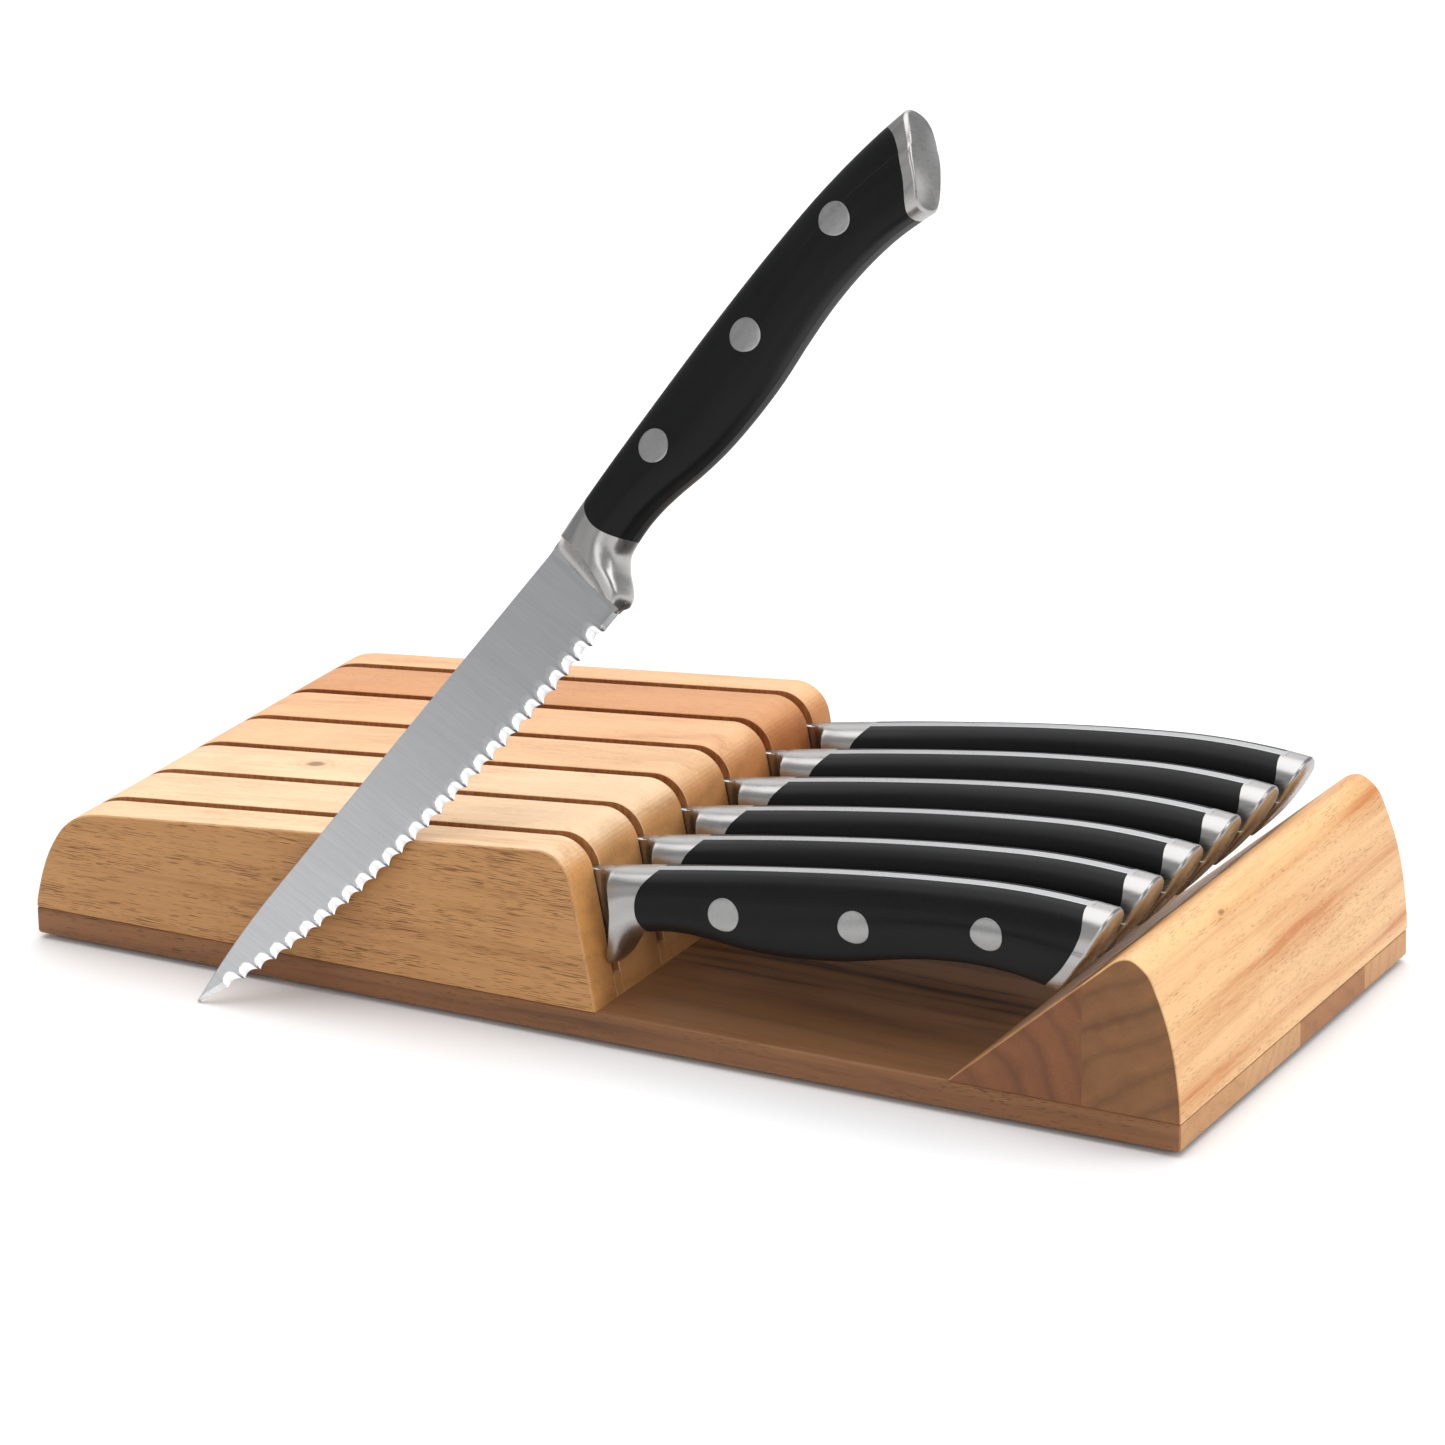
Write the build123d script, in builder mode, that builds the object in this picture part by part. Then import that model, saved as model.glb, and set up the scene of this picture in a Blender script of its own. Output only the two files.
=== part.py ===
from build123d import *
import math
import os

# Wooden steak-knife stand: a slotted block and an end rest on a thin base board,
# six serrated knives in the slots and a seventh leaning on the front of the block.
# Frame: millimetres, origin on the standing plane under the middle of the base,
# +X from the blade end to the handle end, +Y from the front to the back, +Z up.

os.makedirs("parts", exist_ok=True)

# ---------------------------------------------------------------- driving dimensions
# base board
base_length = 270.0
base_width = 116.4
base_thickness = 6.2
stave_widths = [31.0, 28.4, 33.8, 23.2]  # edge-glued staves, front to back
base_edge_round = 1.0

# rubber feet
foot_height = 1.2
foot_radius = 6.5
foot_inset_x = 16.0
foot_inset_y = 14.0

# slotted block
slot_pitch = 19.13
first_slat_width = 11.1  # from the front face to the middle of the first slot
slot_width = 2.7
slot_count = 6
slot_floor = 10.9  # height of the slot floors above the underside of the base
block_end_bottom = 138.05  # where the sloping end face meets the base
block_end_lean = 10.4  # lean of that face from the vertical, degrees
block_top_height = 28.41  # height of the top plane at the blade end, above the underside
block_top_slope = 5.26  # slope of the top plane, degrees
block_top_round = 7.6  # round between the top plane and the sloping end face

# end rest
rest_foot = 218.85  # where the ramp meets the base
rest_ramp_top = (254.7, 37.6)
rest_apex = (258.5, 39.2)
rest_seam = 248.5  # glue line between the two laminations

# screws through the base
screw_radius = 1.75
screw_head_radius = 3.5
screw_head_height = 2.2
screw_length = 15.5
screw_clearance = 0.1

# knife
blade_length = 125.0
blade_height = 20.35
blade_thickness = 2.0
blade_edge_thickness = 0.5
blade_tip_thickness = 1.1
spine_drop = 2.6  # how far the tip lies below the line of the spine
spine_drop_start = 95.0
tooth_count = 28
tooth_pitch = 4.05
tooth_depth = 1.15
tooth_start = 4.6
tang_thickness = 2.6
handle_thickness = 14.0
spine_round = 5.6
belly_round = 4.6
rivet_radius = 3.6
rivet_clearance = 0.02
rivet_places = [(31.9, -5.4), (61.7, -5.4), (91.6, -4.2)]

# how the knives stand
knife_tilt = 4.6  # the spine climbs towards the handle, degrees
knife_bolster_x = 133.9  # blade and bolster meet here, from the blade end
knife_bolster_z = 33.9  # height of the spine there, above the underside of the base
lean_direction = (0.5552, 0.3063, 0.7733)  # from tip to butt of the leaning knife
lean_offset = 0.3  # gap between the leaning blade and the edge that carries it
lean_tip_height = 0.3
lean_edge_x = 86.0  # where the middle of the blade crosses the block's front top edge

# ---------------------------------------------------------------- derived sizes
x0 = -base_length / 2
y0 = -base_width / 2
z0 = foot_height
top_tan = math.tan(math.radians(block_top_slope))
end_tan = math.tan(math.radians(block_end_lean))
slot_y = [y0 + first_slat_width + slot_pitch * i for i in range(slot_count)]

# ---------------------------------------------------------------- base board
stave_edges = [y0]
for width in stave_widths:
    stave_edges.append(stave_edges[-1] + width)

# screw places: four under the block and two under the end rest
block_screws = [
    (x0 + 30.0, (slot_y[0] + slot_y[1]) / 2),
    (x0 + 112.0, (slot_y[0] + slot_y[1]) / 2),
    (x0 + 30.0, (slot_y[4] + slot_y[5]) / 2),
    (x0 + 112.0, (slot_y[4] + slot_y[5]) / 2),
]
rest_screws = [(x0 + 256.5, y0 + 25.3), (x0 + 256.5, y0 + 88.5)]
screw_places = block_screws + rest_screws

with BuildPart() as screws:
    for sx, sy in screw_places:
        with BuildSketch(Plane.XY.offset(z0)) as head_low:
            with Locations((sx, sy)):
                Circle(screw_head_radius)
        with BuildSketch(Plane.XY.offset(z0 + screw_head_height)) as head_high:
            with Locations((sx, sy)):
                Circle(screw_radius)
        loft()
        with BuildSketch(Plane.XY.offset(z0 + screw_head_height)) as shank:
            with Locations((sx, sy)):
                Circle(screw_radius)
        extrude(amount=screw_length - screw_head_height)
        # cross recess in the head
        with BuildSketch(Plane.XY.offset(z0)) as recess:
            with Locations((sx, sy)):
                Rectangle(3.2, 0.7)
                Rectangle(0.7, 3.2)
        extrude(amount=1.3, mode=Mode.SUBTRACT)
screws.part.label = "base_screws"
export_step(screws.part, "parts/base_screws.step")

# the same shapes, a little larger, make the screw holes
with BuildPart() as screw_holes:
    for sx, sy in screw_places:
        with BuildSketch(Plane.XY.offset(z0 - 0.01)) as head_low:
            with Locations((sx, sy)):
                Circle(screw_head_radius + screw_clearance)
        with BuildSketch(Plane.XY.offset(z0 + screw_head_height)) as head_high:
            with Locations((sx, sy)):
                Circle(screw_radius + screw_clearance)
        loft()
        with BuildSketch(Plane.XY.offset(z0 + screw_head_height)) as shank:
            with Locations((sx, sy)):
                Circle(screw_radius + screw_clearance)
        extrude(amount=screw_length - screw_head_height + 0.3)

for i in range(len(stave_widths)):
    front, back = stave_edges[i], stave_edges[i + 1]
    with BuildPart() as stave:
        with BuildSketch(Plane.XY.offset(z0)) as outline:
            with Locations((0, (front + back) / 2)):
                Rectangle(base_length, back - front)
        extrude(amount=base_thickness)
        lowest = stave.edges().group_by(Axis.Z)[0]
        fillet(lowest.filter_by(Axis.Y), radius=base_edge_round)
        if i == 0:
            fillet(
                stave.edges().group_by(Axis.Z)[0].filter_by(Axis.X).sort_by(Axis.Y)[0],
                radius=base_edge_round,
            )
        if i == len(stave_widths) - 1:
            fillet(
                stave.edges().group_by(Axis.Z)[0].filter_by(Axis.X).sort_by(Axis.Y)[-1],
                radius=base_edge_round,
            )
        add(screw_holes.part, mode=Mode.SUBTRACT)
    stave.part.label = f"base_stave_{i + 1}"
    export_step(stave.part, f"parts/base_stave_{i + 1}.step")

foot_x = base_length / 2 - foot_inset_x
foot_y = base_width / 2 - foot_inset_y
with BuildPart() as feet:
    with BuildSketch(Plane.XY) as pads:
        with GridLocations(2 * foot_x, 2 * foot_y, 2, 2):
            Circle(foot_radius)
    extrude(amount=foot_height)
    chamfer(feet.edges().group_by(Axis.Z)[0], length=0.4)
feet.part.label = "rubber_feet"
export_step(feet.part, "parts/rubber_feet.step")

# ---------------------------------------------------------------- slotted block
# Profile of a slat, seen from the front: a curved blade end, a sloping top plane,
# a rounded corner and a leaning end face.
top_left = (19.0, block_top_height + 19.0 * top_tan)
corner_z = (block_top_height + block_end_bottom * top_tan + base_thickness * end_tan * top_tan) / (
    1 + end_tan * top_tan
)
corner_x = block_end_bottom - (corner_z - base_thickness) * end_tan


def block_point(x, z):
    """A point of the profile, from the blade end and the underside, in the model frame."""
    return (x0 + x, z0 + z)


def slat_sketch():
    """Closed profile of the slotted block on the XZ plane."""
    with BuildSketch(Plane.XZ) as profile:
        with BuildLine() as edge:
            Spline(
                block_point(0.0, base_thickness),
                block_point(0.9, 10.9),
                block_point(2.4, 15.9),
                block_point(4.75, 21.1),
                block_point(8.0, 25.7),
                block_point(12.4, 28.75),
                block_point(*top_left),
                tangents=[(0, 1), (1, top_tan)],
                tangent_scalars=[1.0, 1.0],
            )
            Line(block_point(*top_left), block_point(corner_x, corner_z))
            Line(
                block_point(corner_x, corner_z), block_point(block_end_bottom, base_thickness)
            )
            Line(block_point(block_end_bottom, base_thickness), block_point(0.0, base_thickness))
        make_face()
        corner = profile.vertices().sort_by(lambda v: v.Y + 0.3 * v.X)[-1]
        fillet(corner, radius=block_top_round)
    return profile.sketch_local


slat_profile = slat_sketch()
slat_faces = [y0] + slot_y + [y0 + base_width]
for i in range(slot_count + 1):
    front = slat_faces[i] + (0 if i == 0 else slot_width / 2)
    back = slat_faces[i + 1] - (0 if i == slot_count else slot_width / 2)
    with BuildPart() as slat:
        with BuildSketch(Plane.XZ.offset(-front)) as face:
            add(slat_profile)
        extrude(amount=-(back - front))
        add(screw_holes.part, mode=Mode.SUBTRACT)
    slat.part.label = f"block_slat_{i + 1}"
    export_step(slat.part, f"parts/block_slat_{i + 1}.step")

# strips that close the slots below the blades, flush with both end faces
with BuildPart() as strips:
    for y in slot_y:
        with BuildSketch(Plane.XZ.offset(-(y - slot_width / 2))) as face:
            add(slat_profile)
        extrude(amount=-slot_width)
    with BuildSketch(Plane.XY.offset(z0 + slot_floor)) as above:
        Rectangle(2 * base_length, 2 * base_width)
    extrude(amount=60, mode=Mode.SUBTRACT)
strips.part.label = "slot_floor_strips"
export_step(strips.part, "parts/slot_floor_strips.step")

# ---------------------------------------------------------------- end rest
with BuildSketch(Plane.XZ) as rest_profile:
    with BuildLine() as edge:
        Line(block_point(rest_foot, base_thickness), block_point(*rest_ramp_top))
        ramp = (rest_ramp_top[0] - rest_foot, rest_ramp_top[1] - base_thickness)
        Spline(
            block_point(*rest_ramp_top),
            block_point(*rest_apex),
            block_point(262.2, 37.1),
            block_point(265.2, 31.4),
            block_point(267.8, 23.5),
            block_point(269.35, 14.7),
            block_point(base_length, base_thickness),
            tangents=[ramp, (0, -1)],
        )
        Line(block_point(base_length, base_thickness), block_point(rest_foot, base_thickness))
    make_face()

for name, low, high in (("end_rest_inner", 0.0, rest_seam), ("end_rest_outer", rest_seam, 400.0)):
    with BuildPart() as rest:
        with BuildSketch(Plane.XZ.offset(-y0)) as face:
            add(rest_profile.sketch_local)
        extrude(amount=-base_width)
        with BuildSketch(Plane.XY) as keep:
            with Locations((x0 + (low + high) / 2, 0)):
                Rectangle(high - low, 2 * base_width)
        extrude(amount=100, mode=Mode.INTERSECT)
        add(screw_holes.part, mode=Mode.SUBTRACT)
    rest.part.label = name
    export_step(rest.part, f"parts/{name}.step")

# ---------------------------------------------------------------- one knife
# Knife frame: u from the blade/bolster line towards the butt, w up towards the spine,
# t to the left side of the knife. u, w, t are the local X, Y, Z of Plane.XZ.


def edge_drop(u):
    """Depth of the cutting edge below the spine line, u millimetres from the bolster."""
    x = max(0.0, (u - 22.0) / 103.0)
    return blade_height - 7.0 * x * x / (x + 0.08) - 11.27 * x**4


def spine_fall(u):
    """How far the blade's spine has fallen below its straight line, u from the bolster."""
    x = max(0.0, (u - spine_drop_start) / (blade_length - spine_drop_start))
    return spine_drop * x * x


handle_spine = [
    (0.0, 0.0), (13.0, 0.9), (24.5, 1.85), (41.0, 3.0), (60.0, 3.95),
    (79.0, 4.25), (92.0, 4.05), (103.0, 3.2), (112.0, 1.95),
]
butt_top = (117.2, 0.0)
butt_bottom = (105.0, -16.6)
handle_belly = [
    (12.6, -12.2), (16.5, -11.8), (21.0, -11.9), (26.5, -12.7), (32.5, -13.9),
    (39.0, -14.8), (47.5, -15.1), (58.0, -14.6), (67.5, -13.3), (77.0, -12.4),
    (86.5, -12.5), (96.5, -13.9), (102.4, -15.6),
]
tang_belly = [
    (108.6, -7.5), (100.0, -10.6), (86.5, -9.0), (77.0, -8.9), (67.5, -9.8), (58.0, -11.1),
    (47.5, -11.6), (39.0, -11.3), (26.5, -9.2), (16.5, -8.6), (2.0, -9.2),
]
scale_front = [(14.8, 1.2), (11.1, -4.9), (12.9, -12.4)]  # rounded front end of the scales
cap_line = [(111.6, 2.2), (112.2, -1.6), (110.6, -5.6), (107.6, -9.8), (104.0, -13.3), (100.6, -16.2)]

# blade: plate with scalloped edge, thinned towards the edge and towards the tip
with BuildPart() as blade:
    with BuildSketch(Plane.XZ) as blade_outline:
        with BuildLine() as edge:
            spine_points = [(-u, -spine_fall(u)) for u in (spine_drop_start, 103, 110, 117, blade_length)]
            Line((4.0, 0.25), (0.0, 0.0))
            Line((0.0, 0.0), spine_points[0])
            Spline(*spine_points, tangents=[(-1, 0), (-1, -0.18)])
            teeth = [
                (-(tooth_start + i * tooth_pitch), -edge_drop(tooth_start + i * tooth_pitch))
                for i in range(tooth_count + 1)
            ]
            tip = spine_points[-1]
            Line(tip, teeth[-1])
            for i in range(tooth_count, 0, -1):
                a, b = teeth[i], teeth[i - 1]
                length = math.dist(a, b)
                mid = (
                    (a[0] + b[0]) / 2 - (b[1] - a[1]) / length * tooth_depth,
                    (a[1] + b[1]) / 2 + (b[0] - a[0]) / length * tooth_depth,
                )
                ThreePointArc(a, mid, b)
            Line(teeth[0], (0.2, -blade_height + 0.05))
            Line((0.2, -blade_height + 0.05), (4.0, -17.0))
            Line((4.0, -17.0), (4.0, 0.25))
        make_face()
    extrude(amount=blade_thickness / 2, both=True)
    with BuildSketch(Plane.YZ) as grind:
        with BuildLine() as edge:
            Polyline(
                (-blade_thickness / 2, 2.0), (-blade_thickness / 2, -1.0),
                (-blade_edge_thickness / 2, -blade_height - 0.2),
                (blade_edge_thickness / 2, -blade_height - 0.2),
                (blade_thickness / 2, -1.0), (blade_thickness / 2, 2.0), close=True,
            )
        make_face()
    extrude(amount=200, both=True, mode=Mode.INTERSECT)
    with BuildSketch(Plane.XY.offset(-30)) as taper:
        with BuildLine() as edge:
            Polyline(
                (6.0, -blade_thickness / 2), (0.0, -blade_thickness / 2),
                (-blade_length - 1, -blade_tip_thickness / 2),
                (-blade_length - 1, blade_tip_thickness / 2),
                (0.0, blade_thickness / 2), (6.0, blade_thickness / 2), close=True,
            )
        make_face()
    extrude(amount=60, mode=Mode.INTERSECT)
    # tang, exposed along the spine of the handle and hidden at the belly
    with BuildSketch(Plane.XZ) as tang_outline:
        with BuildLine() as edge:
            tang_spine = [(2.0, 0.14)] + handle_spine[1:]
            Spline(*tang_spine, tangents=[(1, 0.07), (1, -0.16)])
            Line(handle_spine[-1], tang_belly[0])
            Spline(*tang_belly)
            Line(tang_belly[-1], tang_spine[0])
        make_face()
    extrude(amount=tang_thickness / 2, both=True)
    with BuildSketch(Plane.XZ) as bores:
        with Locations(*rivet_places):
            Circle(rivet_radius)
    extrude(amount=handle_thickness, both=True, mode=Mode.SUBTRACT)

# envelope of the handle: rounded along the spine and the belly, cut off at the butt
with BuildPart() as envelope:
    with BuildSketch(Plane.XZ) as handle_outline:
        with BuildLine() as edge:
            Spline(*handle_spine, (126.0, -1.2), tangents=[(1, 0.07), (1, -0.24)])
            Line((126.0, -1.2), (126.0, -24.0))
            Spline((126.0, -24.0), (112.0, -19.0), *reversed(handle_belly))
            Line(handle_belly[0], (0.0, handle_belly[0][1]))
            Line((0.0, handle_belly[0][1]), (0.0, 0.0))
        make_face()
    extrude(amount=handle_thickness / 2, both=True)
    sides = envelope.edges().filter_by(
        lambda e: abs(abs(e.center().Y) - handle_thickness / 2) < 1e-6 and e.length > 60
    )
    fillet(sides.filter_by(lambda e: e.center().Z > -4), radius=spine_round)
    fillet(
        envelope.edges().filter_by(
            lambda e: abs(abs(e.center().Y) - handle_thickness / 2) < 1e-6
            and e.length > 60
            and e.center().Z < -10
        ),
        radius=belly_round,
    )
    with BuildSketch(Plane.XZ) as butt_cut:
        with BuildLine() as edge:
            Polyline((-5, 12), (114.0, 12), (114.0, 1.9))
            ThreePointArc((114.0, 1.9), (116.5, 1.25), butt_top)
            ThreePointArc(butt_top, (112.6, -8.0), butt_bottom)
            ThreePointArc(butt_bottom, (103.6, -17.0), (102.0, -16.6))
            Polyline((102.0, -16.6), (102.0, -30), (-5, -30), (-5, 12))
        make_face()
    extrude(amount=handle_thickness, both=True, mode=Mode.INTERSECT)

# handle scales: left and right, closed below the tang, rebated for it above
with BuildSketch(Plane.XZ) as scale_region:
    with BuildLine() as edge:
        ThreePointArc(*scale_front)
        Line(scale_front[0], (14.8, 9.0))
        Line((14.8, 9.0), (cap_line[0][0], 9.0))
        Line((cap_line[0][0], 9.0), cap_line[0])
        Spline(*cap_line)
        Line(cap_line[-1], (cap_line[-1][0], -22.0))
        Line((cap_line[-1][0], -22.0), (12.9, -22.0))
        Line((12.9, -22.0), scale_front[-1])
    make_face()

knife_pieces = {}
for side, sign in (("left", 1), ("right", -1)):
    with BuildPart() as scale:
        add(envelope.part)
        with BuildSketch(Plane.XZ) as region:
            add(scale_region.sketch_local)
        extrude(amount=sign * handle_thickness, mode=Mode.INTERSECT)
        add(blade.part, mode=Mode.SUBTRACT)
        with BuildSketch(Plane.XZ) as bores:
            with Locations(*rivet_places):
                Circle(rivet_radius)
        extrude(amount=handle_thickness, both=True, mode=Mode.SUBTRACT)
    knife_pieces[f"scale_{side}"] = scale.part

# end cap: closes the butt of the handle around the end of the tang
with BuildPart() as end_cap:
    add(envelope.part)
    with BuildSketch(Plane.XZ) as region:
        with BuildLine() as edge:
            Line((cap_line[0][0], 9.0), cap_line[0])
            Spline(*cap_line)
            Line(cap_line[-1], (cap_line[-1][0], -22.0))
            Line((cap_line[-1][0], -22.0), (130.0, -22.0))
            Line((130.0, -22.0), (130.0, 9.0))
            Line((130.0, 9.0), (cap_line[0][0], 9.0))
        make_face()
    extrude(amount=handle_thickness, both=True, mode=Mode.INTERSECT)
    add(blade.part, mode=Mode.SUBTRACT)
knife_pieces["end_cap"] = end_cap.part

# bolster: collar that flares from the blade to the full width of the handle and
# runs down to the heel as a finger guard
with BuildPart() as bolster:
    with BuildSketch(Plane.XZ) as bolster_outline:
        with BuildLine() as edge:
            Line((0.0, 0.0), (0.35, -20.2))
            Line((0.35, -20.2), (1.6, -20.35))
            Spline(
                (1.6, -20.35), (3.7, -19.7), (5.0, -18.2), (6.9, -15.3), (9.2, -13.1), (12.9, -12.25),
                tangents=[(1, 0.05), (1, 0.1)],
            )
            Line((12.9, -12.25), (20.0, -12.0))
            Line((20.0, -12.0), (20.0, 1.5))
            Spline((20.0, 1.5), (13.0, 0.9), (0.0, 0.0), tangents=[(-1, -0.08), (-1, -0.07)])
        make_face()
    extrude(amount=handle_thickness / 2, both=True)
    upper = [
        e
        for e in bolster.edges()
        if abs(abs(e.center().Y) - handle_thickness / 2) < 1e-6 and e.center().Z > -1 and e.length > 12
    ]
    fillet(upper, radius=spine_round)
    # plan shape: concave flare out of the blade
    with BuildSketch(Plane.XY.offset(-40)) as flare:
        with BuildLine() as edge:
            Line((0.0, -1.0), (0.0, 1.0))
            Spline((0.0, 1.0), (2.2, 2.0), (4.3, 6.3), tangents=[(1, 0.15), (0.12, 1)])
            Line((4.3, 6.3), (5.2, 7.0))
            Line((5.2, 7.0), (30.0, 7.0))
            Line((30.0, 7.0), (30.0, -7.0))
            Line((30.0, -7.0), (5.2, -7.0))
            Line((5.2, -7.0), (4.3, -6.3))
            Spline((4.3, -6.3), (2.2, -2.0), (0.0, -1.0), tangents=[(-0.12, 1), (-1, 0.15)])
        make_face()
    extrude(amount=80, mode=Mode.INTERSECT)
    # the guard narrows towards the heel
    with BuildSketch(Plane.YZ.offset(-5)) as guard:
        with BuildLine() as edge:
            Polyline(
                (-7.0, 6.0), (-7.0, -9.5), (-3.4, -20.4), (3.4, -20.4), (7.0, -9.5), (7.0, 6.0), close=True
            )
        make_face()
    extrude(amount=40, mode=Mode.INTERSECT)
    with BuildSketch(Plane.XZ) as behind:
        add(scale_region.sketch_local)
    extrude(amount=handle_thickness, both=True, mode=Mode.SUBTRACT)
    add(blade.part, mode=Mode.SUBTRACT)
knife_pieces["bolster"] = bolster.part

with BuildPart() as rivets:
    with BuildSketch(Plane.XZ) as discs:
        with Locations(*rivet_places):
            Circle(rivet_radius - rivet_clearance)
    extrude(amount=handle_thickness / 2, both=True)
knife_pieces["rivets"] = rivets.part
knife_pieces["blade"] = blade.part

# ---------------------------------------------------------------- knives in place
placements = {
    f"knife_{i + 1}": Location(
        (x0 + knife_bolster_x, slot_y[i], z0 + knife_bolster_z), (0, -knife_tilt, 0)
    )
    for i in range(slot_count)
}

# the leaning knife: its flat rests on the block's front top edge, its tip on the table
along = Vector(*lean_direction).normalized()
edge_dir = Vector(1, 0, top_tan).normalized()
normal = edge_dir.cross(along).normalized()
if normal.Z < 0:
    normal = normal * -1
up = normal.cross(along).normalized()
edge_point = Vector(
    x0 + lean_edge_x, y0, z0 + block_top_height + lean_edge_x * top_tan
) + normal * (blade_thickness / 2 + lean_offset)
# from the blade's middle line at the edge, back along the knife to its tip height
tip_local_w = -spine_drop
blade_mid_w = -9.0
start = edge_point - up * blade_mid_w
rise = (start.Z + up.Z * tip_local_w - along.Z * blade_length) - lean_tip_height
origin = start - along * (rise / along.Z)
placements["leaning_knife"] = Plane(
    origin=origin, x_dir=along, z_dir=up
).location

for knife, place in placements.items():
    for piece, solid in knife_pieces.items():
        with BuildPart() as placed:
            with Locations(place):
                add(solid)
        placed.part.label = f"{knife}_{piece}"
        export_step(placed.part, f"parts/{knife}_{piece}.step")
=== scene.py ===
import math

import bpy
import bmesh
import numpy as np
from mathutils import Matrix, Vector


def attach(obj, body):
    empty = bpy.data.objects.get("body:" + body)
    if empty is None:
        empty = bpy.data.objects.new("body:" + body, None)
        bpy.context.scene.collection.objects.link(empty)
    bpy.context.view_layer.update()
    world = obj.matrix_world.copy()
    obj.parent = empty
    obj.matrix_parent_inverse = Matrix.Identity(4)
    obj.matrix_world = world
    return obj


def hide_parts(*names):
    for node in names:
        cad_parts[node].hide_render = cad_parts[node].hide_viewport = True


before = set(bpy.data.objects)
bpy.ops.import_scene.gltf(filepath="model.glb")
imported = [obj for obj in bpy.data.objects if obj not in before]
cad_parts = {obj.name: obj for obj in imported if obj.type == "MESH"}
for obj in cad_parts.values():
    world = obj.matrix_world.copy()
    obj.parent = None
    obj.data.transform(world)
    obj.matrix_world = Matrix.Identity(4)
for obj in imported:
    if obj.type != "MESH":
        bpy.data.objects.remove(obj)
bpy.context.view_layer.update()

# Slotted steak-knife block: every length below is in millimetres unless it says otherwise,
# and is turned into metres where a mesh is made.
MM = 0.001
LENGTH, WIDTH, BASE = 270.0, 116.4, 6.2
X0, Y0, Z0 = -LENGTH / 2, -WIDTH / 2, 1.2
PITCH, FIRST, SLOT = 19.13, 11.1, 2.7
SLOT_Y = [Y0 + FIRST + PITCH * i for i in range(6)]
TOP_TAN = math.tan(math.radians(5.26))
END_TAN = math.tan(math.radians(10.4))
TOP_H, END_X = 28.41, 138.05
STAVES = [31.0, 28.4, 33.8, 23.2]


# ------------------------------------------------------------------ small tools
def spline(points, n, t0=None, t1=None):
    """Natural-looking curve through the points: cubic Hermite with chord-based tangents."""
    p = np.array(points, float)
    d = np.linalg.norm(np.diff(p, axis=0), axis=1)
    m = np.zeros_like(p)
    for i in range(1, len(p) - 1):
        a, b = (p[i] - p[i - 1]) / d[i - 1], (p[i + 1] - p[i]) / d[i]
        m[i] = (a * d[i] + b * d[i - 1]) / (d[i] + d[i - 1])
    m[0] = np.array(t0, float) / np.linalg.norm(t0) if t0 is not None else 1.5 * (p[1] - p[0]) / d[0] - 0.5 * m[1]
    m[-1] = np.array(t1, float) / np.linalg.norm(t1) if t1 is not None else 1.5 * (p[-1] - p[-2]) / d[-1] - 0.5 * m[-2]
    out = []
    total = d.sum()
    for i in range(len(d)):
        k = max(2, int(round(n * d[i] / total)))
        s = np.linspace(0, 1, k, endpoint=False)[:, None]
        h = d[i]
        out.append(
            (2 * s**3 - 3 * s**2 + 1) * p[i]
            + (s**3 - 2 * s**2 + s) * h * m[i]
            + (-2 * s**3 + 3 * s**2) * p[i + 1]
            + (s**3 - s**2) * h * m[i + 1]
        )
    out.append(p[-1:])
    return np.vstack(out)


def curve_fn(points, n=400):
    """y as a function of x along a curve through the points, x rising."""
    c = spline(points, n)
    return lambda x: np.interp(x, c[:, 0], c[:, 1])


def smoothstep(a, b, x):
    t = np.clip((np.asarray(x, float) - a) / (b - a), 0, 1)
    return t * t * (3 - 2 * t)


def smin(a, b, k):
    h = np.clip(0.5 + 0.5 * (b - a) / k, 0, 1)
    return b * (1 - h) + a * h - k * h * (1 - h)


def mesh_from(name, verts, faces, weld=1e-4):
    """A mesh in metres from millimetre points, seam points welded and normals outward."""
    me = bpy.data.meshes.new(name)
    bm = bmesh.new()
    vs = [bm.verts.new((float(x) * MM, float(y) * MM, float(z) * MM)) for x, y, z in verts]
    for f in faces:
        ids = []
        for i in f:
            if not ids or i != ids[-1]:
                ids.append(i)
        if len(set(ids)) < 3 or len(set(ids)) != len(ids):
            continue
        try:
            bm.faces.new([vs[i] for i in ids])
        except ValueError:
            pass
    if weld:
        bmesh.ops.remove_doubles(bm, verts=bm.verts, dist=weld * MM * 10)
        bmesh.ops.dissolve_degenerate(bm, dist=1e-8, edges=bm.edges)
    loose = [v for v in bm.verts if not v.link_faces]
    if loose:
        bmesh.ops.delete(bm, geom=loose, context="VERTS")
    bmesh.ops.recalc_face_normals(bm, faces=bm.faces)
    bm.to_mesh(me)
    bm.free()
    return me


def finish_mesh(me, angle, material, knife=False):
    me.polygons.foreach_set("use_smooth", [True] * len(me.polygons))
    me.set_sharp_from_angle(angle=math.radians(angle))
    me.materials.clear()
    me.materials.append(material)
    if knife:
        co = np.zeros(len(me.vertices) * 3, np.float32)
        me.vertices.foreach_get("co", co)
        a = me.attributes.new("knife_mm", "FLOAT_VECTOR", "POINT")
        a.data.foreach_set("vector", co * 1000.0)
    me.update()


def place(name, me, body, nodes, matrix=None, index=0):
    ob = bpy.data.objects.new(name, me)
    bpy.context.scene.collection.objects.link(ob)
    if matrix is not None:
        ob.matrix_world = matrix
    ob.pass_index = index
    bpy.context.view_layer.update()
    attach(ob, body)
    if nodes:
        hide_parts(*nodes)
    return ob


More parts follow.
